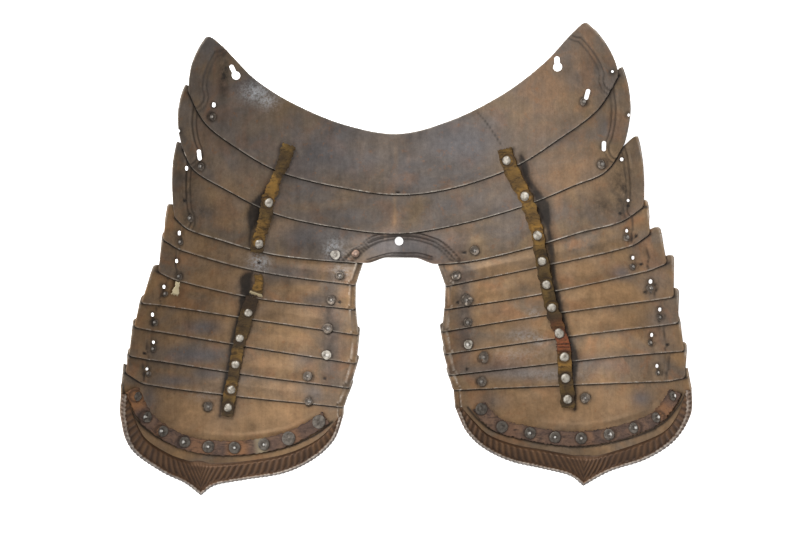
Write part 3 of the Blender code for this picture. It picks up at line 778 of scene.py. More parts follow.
# %% Pits and the plates' own rivets
# Empty rivet holes that show dark stay as small dents, painted dark as shade and dirt in a blind
# hole.
PITS = [(219, 20), (224, -6), (229, -32), (249, -81), (212, 48), (228, 47), (-238, -89), (-56, -42),
        (-70, -114), (62, 5), (56, -42), (64, -105), (-1, 62), (205, 41), (-132, -4.5), (-199, 53)]
PIT_RADIUS, PIT_DEEP = 1.5, 0.5
pit_tree = tree_of(PITS)
hole_tree = tree_of([(punch.x, punch.y) for punch in PUNCHES[2:]])

# The plates have rivets of their own on the inside, of four kinds.
RingMark = namedtuple("RingMark", "x y radius")
RINGS = {
    "ring": [
        (-174, 131, 3.6), (-185, 85, 3.8), (-195, 37, 3.4), (-206, -17, 3.0), (-229, -60, 3.0),
        (-231, -85, 2.8), (-236, -108, 2.8), (-204, 15, 2.6), (-219, -33, 2.6), (172, 145, 3.6),
        (189, 87, 4.4), (212, 19, 3.5), (218, -8, 3.0), (234, -28, 4.4), (243, -55, 3.0),
        (236, -79, 2.6), (243, -107, 2.6), (-56, -17, 4.0), (-64, -40, 4.4), (-67, -67, 5.0),
        (-86, -112, 4.6), (-85, -136, 4.0), (-181, -141, 4.6), (72, 7, 4.4), (54, -17, 4.6),
        (64, -40, 5.6), (65, -61, 4.4), (80, -94, 5.2), (78, -117, 4.6), (177, -133, 4.8),
    ],
    "bright": [(-68, -92, 4.6), (65, -82, 4.4)],
    "copper": [(-41, 4, 3.6)],
    "pale": [(-60, 3, 4.6)],
}
RINGS = {kind: [RingMark(*row) for row in rows] for kind, rows in RINGS.items()}
print(len(PITS), "pits,", sum(map(len, RINGS.values())), "rivets on the plates")

# %% [markdown]
# ## The plates
#
# Down a plate's section the wall lies low where the plate above covers it, and rises over the next
# one at its lower edge: this is what lets the plates shingle. The fauld plates share one layout, the
# lames another, and the two terminal plates end on the rim of their border.

# %% Edges of a plate
def unit(v):
    return v / np.linalg.norm(v, axis=-1, keepdims=True)


def fauld_edge(edge, share):
    points = [(getattr(row, edge + "_x"), getattr(row, edge + "_y")) for row in FAULD_SECTIONS]
    spots = smooth_line(points, share)
    if edge == "three":
        off_arch = np.abs(spots[:, 0] - ARCH_X) / ARCH_HALF
        spots[:, 1] += ARCH_RISE * ease(ARCH_STEEP * (1 - off_arch))
    return spots


def lame_edge(edge, side, share):
    marks = [
        (edge.inner_x, edge.inner_y),
        (keel_x(edge.keel_y), edge.keel_y),
        (edge.outer_x - BEND_IN, edge.bend_y),
        (edge.outer_x, edge.outer_y),
    ]
    x = edge.outer_x + (edge.inner_x - edge.outer_x) * share
    return np.stack([side * x, smooth_level(marks, x)], axis=1)


# %% Sections of a plate
def down_section(top, above, low, zone):
    """Places and offsets down every section: arrays of (columns, rows). The last row is a fine one."""
    whole = np.linalg.norm(low - top, axis=1)
    rows = round(float(whole.max()) / ROW_STEP)
    share = np.linspace(0, 1, rows) * (1 - LAST_ROW / whole)[:, None]
    share = np.concatenate([share, np.ones((len(share), 1))], axis=1)[..., None]
    spots = top[:, None] * (1 - share) + low[:, None] * share
    left = np.linalg.norm(low[:, None] - spots, axis=-1)
    pitch = np.linalg.norm(low - above, axis=-1)[:, None]
    zone = np.minimum(zone, pitch * RAISED_SHARE)
    offset = SHINGLE - 2 * SHINGLE * np.clip((left - zone) / (pitch - zone), 0, 1)
    return spots, share[..., 0], offset


def round_corners(spots, start_radii, end_radii):
    """Rounds the top and low corner of a plate's start, then of its end."""
    for end, near, radii in ((0, 1, start_radii), (-1, -2, end_radii)):
        line = spots[end].copy()
        reached = np.concatenate([[0], np.cumsum(np.linalg.norm(np.diff(line, axis=0), axis=1))])
        inset = np.zeros(len(line))
        for away, radius in ((reached, radii[0]), (reached[-1] - reached, radii[1])):
            inside = np.clip(radius - away, 0, radius)
            inset = np.maximum(inset, radius - np.sqrt(radius**2 - inside**2))
        inward = unit(spots[near] - line)
        fade = np.clip(1 - np.linalg.norm(spots - line, axis=-1) / CORNER_FADE, 0, 1)
        spots += inward * (inset * fade)[..., None]
    return spots


RAISED_SHARE, WAIST_SHARE, END_SHARE = 0.62, 0.2, 0.1
LAST_ROW, CORNER_FADE, RIM_TRIM = 0.5, 20.0, 1.2
WAIST_TIP, FAULD_TIP, FAULD_LOW, RIGHT_TIP_SHARE = 5.0, 3.5, 2.5, 0.7
LAME_OUTER_CORNERS, LAME_INNER_CORNERS = (4.5, 3.0), (3.0, 2.5)
ROW_STEP = 1.25
TERMINAL_ROW_STEP = ROW_STEP * 1.2
LAME_COLUMNS = 126
FAULD_COLUMNS = 280
TERMINAL_COLUMNS = 150


# %% Points of each kind of plate
def fauld_plate_points(plate):
    """Points and offsets over the plate, its low edge, and the edge that lies over it, if any."""
    share = np.linspace(0, 1, FAULD_COLUMNS + 1)
    above, low = fauld_edge(plate.above, share), fauld_edge(plate.edge, share)
    if plate.above == "waist":
        top, seam, tip = above, None, WAIST_TIP
        above = above + (low - above) * WAIST_SHARE
    else:
        top, seam, tip = above + unit(above - low) * OVERLAP, above, FAULD_TIP
    spots, down, offset = down_section(top, above, low, plate.zone)
    bow = 4 * down * (1 - down)
    near_left = np.clip(1 - share / END_SHARE, 0, 1)[:, None]
    near_right = np.clip(1 - (1 - share) / END_SHARE, 0, 1)[:, None]
    spots[..., 0] -= near_left * (plate.left_step * (1 - down) + plate.left_bow * bow)
    spots[..., 0] += near_right * (plate.right_step * (1 - down) + plate.right_bow * bow)
    corners = (tip, FAULD_LOW), (tip * RIGHT_TIP_SHARE, FAULD_LOW)
    return round_corners(spots, *corners), offset, low, seam


def lame_points(above_edge, low_edge, side):
    share = np.linspace(0, 1, LAME_COLUMNS + 1)
    above, low = lame_edge(above_edge, side, share), lame_edge(low_edge, side, share)
    seam = above
    if above_edge.name == "hip":
        top = above
        above = above + unit(low - above) * HIP_OVERLAP
        seam = fauld_edge("three", np.linspace(0, 1, 200))
    else:
        top = above + unit(above - low) * OVERLAP
    spots, down, offset = down_section(top, above, low, ZONE)
    near_end = np.clip(1 - share / CORNER_SHARE, 0, 1)[:, None]
    spots[..., 0] += side * low_edge.corner * near_end * (1 - down)
    return round_corners(spots, LAME_OUTER_CORNERS, LAME_INNER_CORNERS), offset, low, seam


def rim_line(border, side, share):
    """The rim from the outer end to the inner end, with its cusp kept sharp."""
    rim = [(side * row.rim_x, row.rim_y) for row in border]
    outer = smooth_line(rim[: CUSP_ROW + 1], share / CUSP_SHARE)
    inner = smooth_line(rim[CUSP_ROW:], (share - CUSP_SHARE) / (1 - CUSP_SHARE))
    return np.where((share <= CUSP_SHARE)[:, None], outer, inner)


def terminal_points(above_edge, border, side):
    share = np.linspace(0, 1, TERMINAL_COLUMNS + 1)
    above = lame_edge(above_edge, side, share)
    low = rim_line(border, side, share)
    top = above + np.array([0, OVERLAP])
    low += unit(top - low) * RIM_TRIM
    rows = round(float(np.linalg.norm(low - top, axis=1).max()) / TERMINAL_ROW_STEP)
    down = np.linspace(0, 1, rows + 1)[None, :, None]
    spots = top[:, None] * (1 - down) + low[:, None] * down
    return spots, np.full(spots.shape[:2], -SHINGLE), low, above


# %% [markdown]
# The relief is added square to the hollow. The outer ends carry a double line where the plate is
# stiffened, and the inner ends of the lames fall away in a narrow flange.

# %% Relief on a plate
# Lines at a distance from a plate's end: how far, how high and how wide.
EdgeLine = namedtuple("EdgeLine", "away high width")
FAULD_END_LINES = [EdgeLine(11.0, 0.7, 0.8), EdgeLine(15.0, 0.5, 0.7)]
LAME_END_LINES = [EdgeLine(15.5, 0.7, 0.8)]
FLANGE_LINE = EdgeLine(5.2, 0.5, 0.8)
FLANGE_DEEP, FLANGE_FROM, FLANGE_SPAN = 0.9, 4.6, 4.0
PIT_RIM, PIT_SPAN = 0.6, 0.9


def bell(away, width):
    return np.exp(-((away / width) ** 2))


def kind_of(name):
    return next(kind for kind in ("fauld", "lame", "terminal") if kind in name)


def relief(name, spots):
    x, y = spots[..., 0], spots[..., 1]
    high = uneven(x, y)
    for ridge in RIDGES:
        if name == ridge.plate:
            away = distance(tree_of(evenly(ridge.path, 0.5)), x, y)
            high += ridge.height * bell(away, ridge.width)
    ends = {"fauld": (spots[0], spots[-1]), "lame": (spots[0],), "terminal": ()}[kind_of(name)]
    if kind_of(name) == "lame":
        inner = distance(tree_of(spots[-1]), x, y)
        high += FLANGE_LINE.high * bell(inner - FLANGE_LINE.away, FLANGE_LINE.width)
        high -= FLANGE_DEEP * ease((FLANGE_FROM - inner) / FLANGE_SPAN)
    for end in ends:
        away = distance(tree_of(end), x, y)
        for line in FAULD_END_LINES if kind_of(name) == "fauld" else LAME_END_LINES:
            high += line.high * bell(away - line.away, line.width)
    return high - PIT_DEEP * ease((PIT_RADIUS + PIT_RIM - distance(pit_tree, x, y)) / PIT_SPAN)


# %% [markdown]
# Dirt and painted shade gather in hollows and under edges, and wear and painted highlights fall on
# edges. So each plate's points get numbers that say how near they lie to an edge, a seam, a hole or
# a stain. Every layer keeps the strongest mark on it.

# %% Painted numbers
LAYERS = ("edge", "seam", "grime", "cool", "warm", "pale", "light")
LOW_EDGE_WEAR_AND_SHINE = {"fauld": 0.95, "lame": 0.55, "terminal": 0.55}
ARCH_LINES = (ARCH_OUTER, ARCH_INNER, ARCH_LIP)
LINE_BESIDE = 1.7
plate_draws = np.random.default_rng(23)


def soften(reach, away, span):
    """One within the reach, fading to none over the span."""
    return ease((reach - away) / span)


def paint_places(x, y, name, add):
    """What belongs to a place: soft spots, painted shadows beside the straps, pits, holes and rivets."""
    for paint_name, rows in SPOTS.items():
        for spot in (Spot(*row) for row in rows):
            away = ((x - spot.x) / spot.wide) ** 2 + ((y - spot.y) / spot.tall) ** 2
            add(paint_name, spot.strength * np.exp(-away))
    # Each strap's shadow is painted on the plates beside it, darkest next to the strap.
    for shadow_line in STRAP_SHADOWS:
        if kind_of(name) == "fauld" or (shadow_line[0].x < 0) == name.startswith("left"):
            marks = evenly(shadow_line, 1.0)
            tree = tree_of(marks)
            found = np.array([tree.find((a, b, 0))[1:] for a, b in zip(x, y)])
            half = marks[found[:, 0].astype(int), 2]
            add("seam", 0.9 * soften(half + 1.3, found[:, 1], 2.6))
            add("grime", 0.6 * soften(half + 6, found[:, 1], 8))
    # The pits are painted dark, as shade and dirt in a blind hole.
    add("seam", soften(PIT_RADIUS + 0.4, distance(pit_tree, x, y), 0.7))
    add("grime", 0.75 * soften(5.5, distance(hole_tree, x, y), 3.5))
    for mark in (mark for marks in RINGS.values() for mark in marks):
        add("grime", 0.85 * soften(mark.radius + 3.0, np.hypot(x - mark.x, y - mark.y), 3))


def paint_lines(name, low, seam, ends, near, add):
    """What follows a line: painted shade under seams, beside raised lines and on flanges, and worn edges
    with painted highlights.
    """
    kind = kind_of(name)
    # Painted shadow of the plate above: a dark line under its edge, and softer shade below it.
    if seam is not None:
        under = near(evenly(seam, 0.5))
        add("seam", 0.95 * soften(1.9, under, 1.3))
        add("grime", 0.4 * bell(under, 3.4))
    # Painted shade beside the arch's raised lines and along the groove of the forge line.
    for ridge in RIDGES:
        if name == ridge.plate and kind == "fauld":
            beside = LINE_BESIDE if ridge.path in ARCH_LINES else 0.0
            add("seam", 0.75 * bell(near(evenly(ridge.path, 0.5)) - beside, 0.7))
    if kind == "fauld":
        # Painted shade beside the double raised lines at each end.
        for end in ends:
            away = near(end)
            add("seam", 0.65 * (bell(away - 12.6, 0.7) + bell(away - 16.2, 0.6)))
    else:
        # At the inner end of a lame or terminal plate, where a lame turns down in its flange: painted shade
        # at the fold and over the end, and a lighter line beside it, worn and painted as a highlight.
        inner = near(ends[1])
        add("seam", 0.6 * bell(inner - 4.4, 0.7))
        add("grime", 0.5 * soften(4.5, inner, 3))
        add("edge", 0.5 * bell(inner - 5.6, 0.4))
    if kind == "lame":
        # Painted shade beside the raised line at a lame's outer end.
        add("seam", 0.8 * bell(near(ends[0]) - LAME_END_LINES[0].away + 1, 0.7))
    if kind == "terminal":
        # Painted shadow at the foot of the raised band outside the lining.
        foot = near(evenly(CHANNEL_FOOT[name.split("_")[0]], 0.4))
        add("seam", 0.9 * bell(foot, 0.8))
        add("grime", 0.5 * bell(foot, 2.2))
    # Worn edges along the low edge, the ends and the waist, also painted lighter as highlights where light
    # catches them.
    add("edge", LOW_EDGE_WEAR_AND_SHINE[kind] * bell(near(evenly(low, 0.3)), 0.5))
    add("edge", 0.5 * bell(near(np.concatenate(ends)), 0.6))
    if seam is None:
        add("edge", 0.6 * bell(near(fauld_edge("waist", np.linspace(0, 1, 900))), 0.7))


def stain(made, name, low, seam, ends):
    points = points_of(made)
    x, y = points[:, 0], points[:, 1]
    layers = {layer: np.zeros(len(x)) for layer in LAYERS}

    def near(line):
        return distance(tree_of(line), x, y)

    def add(layer, values):
        layers[layer] = np.maximum(layers[layer], values)

    paint_places(x, y, name, add)
    paint_lines(name, low, seam, ends, near, add)
    layers["own"] = np.full(len(x), plate_draws.uniform(0, 1))
    paint(made.data, **layers)


# %% All the plates
plates = {}


def make_plate(name, points, finish):
    spots, offset, low, seam = points
    placed = on_hollow(spots, offset + relief(name, spots))
    cutters = (hole_cutter, slot_cutter) if name == "fauld_plate_1" else (hole_cutter,)
    made = shell(name + "_fine", placed, PLATE_WALL, cutters=cutters)
    for vert in made.data.vertices:
        vert.co.z = max(0.0, vert.co.z)
    made.data.materials.append(finish)
    stain(made, name, low, seam, (spots[0], spots[-1]))
    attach(made, "root")
    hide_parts(name)
    plates[name] = made


for plate in FAULD_PLATES:
    make_plate(plate.name, fauld_plate_points(plate), fauld_steel)
for word, side in SIDES.items():
    rows = EDGES[word]
    for above_edge, low_edge in zip(rows, rows[1:]):
        make_plate(f"{word}_{low_edge.name}", lame_points(above_edge, low_edge, side), tasset_steel)
    make_plate(f"{word}_terminal", terminal_points(rows[-1], BORDERS[word], side), tasset_steel)
print(len(plates), "plates,", sum(len(made.data.polygons) for made in plates.values()), "faces")

# %% [markdown]
# ## Roped borders
#
# Each terminal plate ends in a border that was sunk into leaning flutes which meet at the cusp, with
# its outermost edge rolled over and filed like a rope. The fluted part is one closed band: a grid
# whose rows run once round the section. The height of the flutes is a wave along the band that
# slides with the place across it, and this makes them lean.

# %% Fluted band
RIM_INSET, ROLL_RADIUS = 2.1, 2.0
ROPE_PITCH, FLUTE_LEAN, LEAN_REACH = 6.7, (0.35, 0.6), 40.0
CUSP_SOFT, CUSP_REACH = 2.5, 9.0
BAND_HIGH, FLUTE_DEEP, LOBE_SHARP = 2.8, 1.0, 1.2
BAND_FLOOR = -SHINGLE + PLATE_WALL / 2 + 0.25
BAND_ACROSS, BAND_BACK = 18, 3
BAND_INSET, BAND_INSET_SHARE, FULL_WIDTH = 2.2, 0.3, 13.0
CROWN_RISE, CROWN_DROP, CROWN_FROM, CROWN_SPAN = 0.2, 0.72, 0.25, 0.7
FLUTE_FROM, FLUTE_FADE, FLUTE_END, FLUTE_CLOSE = 0.06, 0.22, 1.02, 0.1
LEAST_HIGH = 0.05
BAND_STEP = 0.9


def border_sections(border, side, step):
    """Sections round the border, each rim point then inner point, and the cusp's number."""
    rows = np.array([(side * row.rim_x, row.rim_y, side * row.rope_x, row.rope_y) for row in border])
    outer = evenly(rows[: CUSP_ROW + 1], step * math.sqrt(2))
    inner = evenly(rows[CUSP_ROW:], step * math.sqrt(2))
    sections = np.concatenate([outer, inner[1:]])
    soft = CUSP_SOFT * bell(lengths_from(sections[:, :2], len(outer) - 1), CUSP_REACH)
    sections[:, 3] += soft
    return sections, len(outer) - 1


def lengths_from(line, start):
    """How far each point of a line lies from the numbered one, along the line."""
    reached = np.concatenate([[0], np.cumsum(np.linalg.norm(np.diff(line, axis=0), axis=1))])
    return np.abs(reached - reached[start])


def rope_steel():
    finish = Finish("rope_steel", metallic=0.55, specular_ior_level=0.3)
    broad = finish.noise(60, 4, warp=0.5)
    fine = finish.noise(380, 4, rough=0.7)
    colour = finish.ramp(broad, (0.35, (0.084, 0.045, 0.025)), (0.65, (0.131, 0.069, 0.034)))
    colour = finish.blend(finish.level(fine, 0.5, 0.75, 0, 0.5), colour, (0.06, 0.036, 0.024))
    colour = finish.blend(finish.painted("cool"), colour, (0.145, 0.128, 0.118))
    # Painted shade in the flutes' grooves and in the roll's filed grooves.
    colour = finish.blend(finish.painted("grime"), colour, (0.021, 0.013, 0.009))
    # The top of the roll and the crests of its filing are painted lighter as highlights, broken by chips.
    chipped = finish.level(finish.noise(230, 3), 0.34, 0.56)
    bright = finish.sum("MULTIPLY", finish.painted("edge"), chipped)
    colour = finish.blend(bright, colour, (0.40, 0.35, 0.30))
    finish.set("Base Color", colour)
    finish.set("Roughness", finish.level(broad, 0.3, 0.7, 0.42, 0.58))
    finish.set("Normal", finish.bump(fine, 0.0002, 0.4))
    return finish.material


rope_finish = rope_steel()


def flute_row(row, around, wide):
    """How far across the band a row lies, its height and its painted shade, at every section."""
    if row > BAND_ACROSS:
        share = 1 - (row - BAND_ACROSS) / (BAND_BACK + 1)
    else:
        share = row / BAND_ACROSS
    lean = FLUTE_LEAN[0] + FLUTE_LEAN[1] * np.exp(-around / LEAN_REACH)
    phase = (around - lean * (1 - share) * wide) / ROPE_PITCH
    lobe = (0.5 - 0.5 * np.cos(2 * math.pi * phase)) ** LOBE_SHARP
    reach = ease((share - FLUTE_FROM) / FLUTE_FADE) * ease((FLUTE_END - share) / FLUTE_CLOSE)
    crown = ease(share / CROWN_RISE) * (1 - CROWN_DROP * ease((share - CROWN_FROM) / CROWN_SPAN))
    high = np.minimum(1, wide / FULL_WIDTH) * (BAND_HIGH * crown - FLUTE_DEEP * reach * (1 - lobe))
    high = np.maximum(high, LEAST_HIGH) if row <= BAND_ACROSS else 0 * wide
    # Painted shade in the grooves, growing towards the rim, in a line along the band's inner edge, and a
    # little darkening over all of it.
    dirt_and_shade = 0.56 * reach * (1 - lobe) + 0.3 * ease((share - 0.5) / 0.5) + 0.7 * bell(share, 0.05) + 0.12
    return share, high, dirt_and_shade


def closed_tube(name, points, sharp_from, **layers):
    """A closed piece from rings of points, in the rope's steel."""
    made = add_piece(name, tidy(grid_mesh(name, points, True, **layers), close_ends=True))
    smooth(made.data, sharp_from)
    made.data.materials.append(rope_finish)
    return made


def flutes(name, border, side):
    sections, cusp = border_sections(border, side, BAND_STEP)
    rim, start = sections[:, :2], sections[:, 2:]
    wide = np.linalg.norm(start - rim, axis=1)
    outer_line = rim + unit(start - rim) * np.minimum(BAND_INSET, wide * BAND_INSET_SHARE)[:, None]
    around = lengths_from((rim + start) / 2, cusp)
    rows = BAND_ACROSS + 1 + BAND_BACK
    points = np.empty((len(sections), rows, 3))
    grime = np.zeros((len(sections), rows))
    for row in range(rows):
        share, high, grime[:, row] = flute_row(row, around, wide)
        points[:, row] = on_hollow(start + (outer_line - start) * share, BAND_FLOOR + high)
    return closed_tube(name, points, 60, grime=grime)


# %% [markdown]
# The rolled edge outside the flutes is a tube whose radius rises and falls round it. The wave turns
# once for each step along the rim, which is what a file cut across a roll leaves.

# %% Rolled edge
ROLL_SIDES, ROLL_STEP, ROLL_LIFT = 14, 0.8, 0.45
ROLL_PITCH = ROPE_PITCH * 0.62
ROLL_MEAN, ROLL_WAVE = 0.9, 0.16
CLEANED_BELOW, CLEANED_SPAN = -152, 30


def rolled_edge(name, border, side):
    sections, cusp = border_sections(border, side, ROLL_STEP)
    rim, start = sections[:, :2], sections[:, 2:]
    centre = rim + unit(start - rim) * RIM_INSET
    around = lengths_from(rim, cusp)
    along = np.gradient(centre, axis=0)
    out = unit(np.stack([along[:, 1], -along[:, 0]], axis=1))
    out *= np.sign(np.sum(out * (rim - start), axis=1))[:, None]
    points = np.empty((len(sections), ROLL_SIDES, 3))
    layers = {layer: np.zeros((len(sections), ROLL_SIDES)) for layer in ("cool", "edge", "grime")}
    for row in range(ROLL_SIDES):
        turn = 2 * math.pi * row / ROLL_SIDES
        wave = np.cos(2 * math.pi * around / ROLL_PITCH + turn)
        radius = ROLL_RADIUS * (ROLL_MEAN + ROLL_WAVE * wave)
        spot = centre + out * (radius * math.cos(turn))[:, None]
        points[:, row] = on_hollow(spot, ROLL_LIFT + radius * math.sin(turn))
        points[:, row, 2] = np.maximum(points[:, row, 2], 0)
        outward = 0.5 + 0.5 * math.cos(turn)
        cleaned = 0.3 + 0.7 * ease((CLEANED_BELOW - spot[:, 1]) / CLEANED_SPAN)
        layers["cool"][:, row] = ease((outward - 0.4) / 0.2) * cleaned
        # Painted highlight along the top of the roll and on the crests of its filing, and painted shade in
        # the filed grooves.
        layers["edge"][:, row] = 0.8 * bell(turn - 1.6, 0.4) + 0.3 * ease(wave) * outward
        layers["grime"][:, row] = 0.6 * ease(-wave) * outward
    return closed_tube(name, points, 180, **layers)


for word, side in SIDES.items():
    band = flutes(f"{word}_fluted_border", BORDERS[word], side)
    roll = rolled_edge(f"{word}_rolled_edge", BORDERS[word], side)
    for made in (band, roll):
        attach(made, "root")
    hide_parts(f"{word}_rope")
    print(band.name, len(band.data.polygons), "faces;", roll.name, len(roll.data.polygons))

# %% [markdown]
# ## Leather
#
# The straps that hold the lames together are the original buff leather: dry, cracked, ochre where
# the surface is whole and brown where it has worn. The strips along the terminal plates are what is
# left of the lining's edge. Both are shaded rough, with cracks from a warped noise.

# %% Leather finishes
def leather(name, light, middle_tone, dark, red):
    finish = Finish(name, roughness=0.82, specular_ior_level=0.18)
    broad = finish.noise(70, 5, warp=0.8)
    grain = finish.noise(620, 4, rough=0.75)
    creases = finish.noise(190, 5, stretch=(0.45, 1.5, 1), rough=0.7, warp=1.2)
    colour = finish.ramp(broad, (0.3, dark), (0.48, middle_tone), (0.66, light))
    ochre = finish.sum("MULTIPLY", finish.painted("ochre"), finish.level(creases, 0.3, 0.6, 1.0, 0.45))
    colour = finish.blend(ochre, colour, (0.255, 0.132, 0.028))
    colour = finish.blend(finish.painted("red"), colour, red)
    colour = finish.blend(finish.level(creases, 0.5, 0.66, 0, 0.75), colour, [c * 0.4 for c in dark])
    colour = finish.blend(finish.level(grain, 0.56, 0.72, 0, 0.45), colour, [c * 1.7 for c in light])
    colour = finish.blend(finish.painted("grime"), colour, (0.020, 0.013, 0.010))
    colour = finish.blend(finish.painted("pale"), colour, (0.52, 0.44, 0.28))
    finish.set("Base Color", colour)
    surface = finish.bump(creases, 0.0007, 0.7)
    surface = finish.bump(grain, 0.0003, 0.5, surface)
    finish.set("Normal", surface)
    return finish.material


strap_leather = leather(
    "strap_leather", light=(0.116, 0.069, 0.019), middle_tone=(0.067, 0.041, 0.015),
    dark=(0.035, 0.023, 0.011), red=(0.18, 0.055, 0.024))
lining_leather = leather(
    "lining_leather", light=(0.125, 0.074, 0.048), middle_tone=(0.083, 0.051, 0.038),
    dark=(0.052, 0.036, 0.030), red=(0.19, 0.090, 0.040))
print("leather:", strap_leather.name, lining_leather.name)

# %% [markdown]
# A strap is a long narrow grid with a width of its own at each mark. It is pressed down at its
# rivets and bulges between them, as leather does when a chain of plates is closed up a little.

# %% Straps
LEATHER_WALL, SCRAP_WALL = 2.0, 0.7
NODES = set(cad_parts)
STRAP_MIDDLE = SHINGLE + PLATE_WALL / 2 + 0.4 + LEATHER_WALL / 2
LINING_MIDDLE = -SHINGLE + PLATE_WALL / 2 + 0.8 + LEATHER_WALL / 2
STRAP_ACROSS, STRAP_STEP = 12, 1.0
# A leather is known by its name, how far it bulges between rivets, its marks as (x, y, width), and
# its zones as (start, end, paint, strength), where start and end are shares of its length.
StrapMark = namedtuple("StrapMark", "x y width")
Zone = namedtuple("Zone", "start end paint strength")
Leather = namedtuple("Leather", "name bulge marks zones rests_on")
TASSETS = {
    word: [f"{word}_{edge.name}" for edge in EDGES[word][1:]] + [f"{word}_terminal"] for word in SIDES
}
FAULD = [plate.name for plate in FAULD_PLATES]
STRAPS = [
    Leather("strap_left_upper", 1.4, [
        (-105, 107, 12.6), (-108, 98, 12.0), (-111, 88, 11.0), (-117, 76, 8.6), (-121, 64, 11.6),
        (-125, 52, 11.4), (-127, 40, 12.0), (-131, 26, 10.4), (-134, 14, 11.6), (-135, 6, 11.0)],
        [(0.05, 0.3, "grime", 0.35), (0.3, 0.55, "ochre", 0.6), (0.57, 0.66, "grime", 0.4),
         (0.7, 0.95, "ochre", 0.5)], FAULD),
    Leather("strap_left_remnant", 0.5, [
        (-133.5, -15, 6.4), (-133, -22, 8.4), (-134, -28, 9.6), (-136, -34, 12.5)],
        [(0.1, 0.8, "ochre", 0.55), (0.93, 1.0, "pale", 0.6)], TASSETS["left"][1:2]),
    Leather("strap_left_lower", 1.2, [
        (-139, -36, 11.0), (-142, -46, 13.2), (-146, -58, 12.8), (-149, -70, 12.4),
        (-152, -82, 11.0), (-155, -98, 11.6), (-157, -112, 10.2), (-160, -126, 12.0),
        (-162, -140, 12.0), (-163, -150, 10.6)],
        # The first zone is painted shadow where this strap runs under the remnant.
        [(0.0, 0.14, "grime", 0.8), (0.14, 0.42, "grime", 0.4), (0.45, 0.55, "ochre", 0.3),
         (0.58, 0.7, "grime", 0.45), (0.72, 0.84, "ochre", 0.5), (0.9, 1.0, "grime", 0.4)],
        TASSETS["left"][2:]),
    Leather("strap_right", 1.5, [
        (101, 103, 13.5), (104, 91, 13.8), (112, 74, 13.5), (120, 58, 12.6), (127, 40, 12.2),
        (132, 22, 11.6), (134, 8, 11.2), (136, -2, 12.4), (140, -24, 12.0), (145, -46, 12.6),
        (149, -58, 13.0), (153, -71, 11.4), (156, -82, 12.6), (157, -94, 13.4), (158, -114, 13.6),
        (160, -130, 13.4), (160, -142, 13.0)],
        [(0.0, 0.4, "ochre", 0.35), (0.11, 0.15, "grime", 0.3), (0.15, 0.22, "ochre", 0.9),
         (0.26, 0.3, "grime", 0.3), (0.29, 0.36, "ochre", 0.95), (0.4, 0.5, "grime", 0.25),
         (0.61, 0.68, "grime", 0.6), (0.665, 0.7, "red", 0.45), (0.7, 0.79, "red", 0.95),
         (0.8, 0.86, "ochre", 0.8), (0.9, 1.0, "grime", 0.4)], FAULD + TASSETS["right"]),
    Leather("leather_scrap", 0.3, [(-208.5, -21.5, 3.2), (-209.5, -27, 4.2), (-211.5, -33.5, 6.4)],
            [(0.0, 1.0, "pale", 0.9)], TASSETS["left"][1:2]),
]
LININGS = [
    Leather("lining_left", 0.3, [
        (-250, -123, 11.5), (-239.5, -148, 12.5), (-224, -163, 12.8), (-204, -174.5, 13.4),
        (-181, -179.5, 13.6), (-156, -180.5, 13.6), (-128, -177.5, 13.4), (-104, -171, 13.0),
        (-84, -161, 12.6), (-69, -151, 12.2)],
        [(0.0, 0.09, "red", 1.0), (0.2, 0.24, "red", 0.5), (0.36, 0.46, "red", 0.45),
         (0.53, 0.62, "red", 0.75), (0.66, 0.7, "pale", 0.3), (0.8, 0.86, "red", 0.4)],
        ["left_terminal"]),
    Leather("lining_right", 0.3, [
        (75, -140, 13.4), (84, -151, 13.2), (97, -160, 12.8), (124, -166.5, 13.2),
        (148, -170.5, 13.4), (173, -171.5, 13.6), (200, -167.5, 13.2), (223, -160, 12.6),
        (242, -150, 12.0), (254, -134, 11.2), (258, -124, 11.0)],
        [(0.16, 0.22, "red", 0.25), (0.5, 0.56, "red", 0.3), (0.86, 0.93, "red", 0.7)],
        ["right_terminal"]),
]

# %% Where the rivets sit
Rivet = namedtuple("Rivet", "carrier x y radius")
STRAP_RIVETS = {
    "strap_left": [(-124, 52, 4.2), (-133, 14, 4.2), (-143, -51, 3.8), (-151, -76, 3.8),
                   (-155, -101, 3.8), (-159, -125, 4.0), (-162, -142, 3.8)],
    "strap_right": [(103, 92, 4.2), (120, 58, 4.4), (132, 22, 4.4), (136, -2, 4.2), (140, -24, 4.2),
                    (145, -46, 4.2), (152, -71, 4.6), (157, -94, 4.4), (158, -114, 4.4),
                    (160, -134, 4.2)],
}
WASHERS = {
    "lining_left": [(-246, -129, 4.4), (-238, -149, 5.2), (-224, -163, 5.4), (-204, -174, 5.4),
                    (-181, -179, 5.6), (-156, -180, 5.6), (-128, -177, 5.6), (-104, -171, 6.6),
                    (-75, -155, 6.6)],
    "lining_right": [(77, -143, 5.8), (97, -160, 5.6), (124, -166, 5.4), (148, -170, 5.4),
                     (173, -171, 5.4), (200, -167, 5.4), (223, -160, 5.2), (243, -149, 5.0),
                     (257, -128, 4.4)],
}
STRAP_RIVETS, WASHERS = (
    [Rivet(carrier, *row) for carrier, rows in table.items() for row in rows]
    for table in (STRAP_RIVETS, WASHERS)
)
press_tree = tree_of([(rivet.x, rivet.y) for rivet in STRAP_RIVETS + WASHERS])


# %% Shape of a strip
WAVES_IN_EDGE, LONG_WAVES, HIGH_WAVES, RAGGED = 6, (3, 13), (0.1, 0.32), 0.7
PRESSED, FREE_SPAN, SAG_AT_SIDES = 4.5, 9.0, 0.35


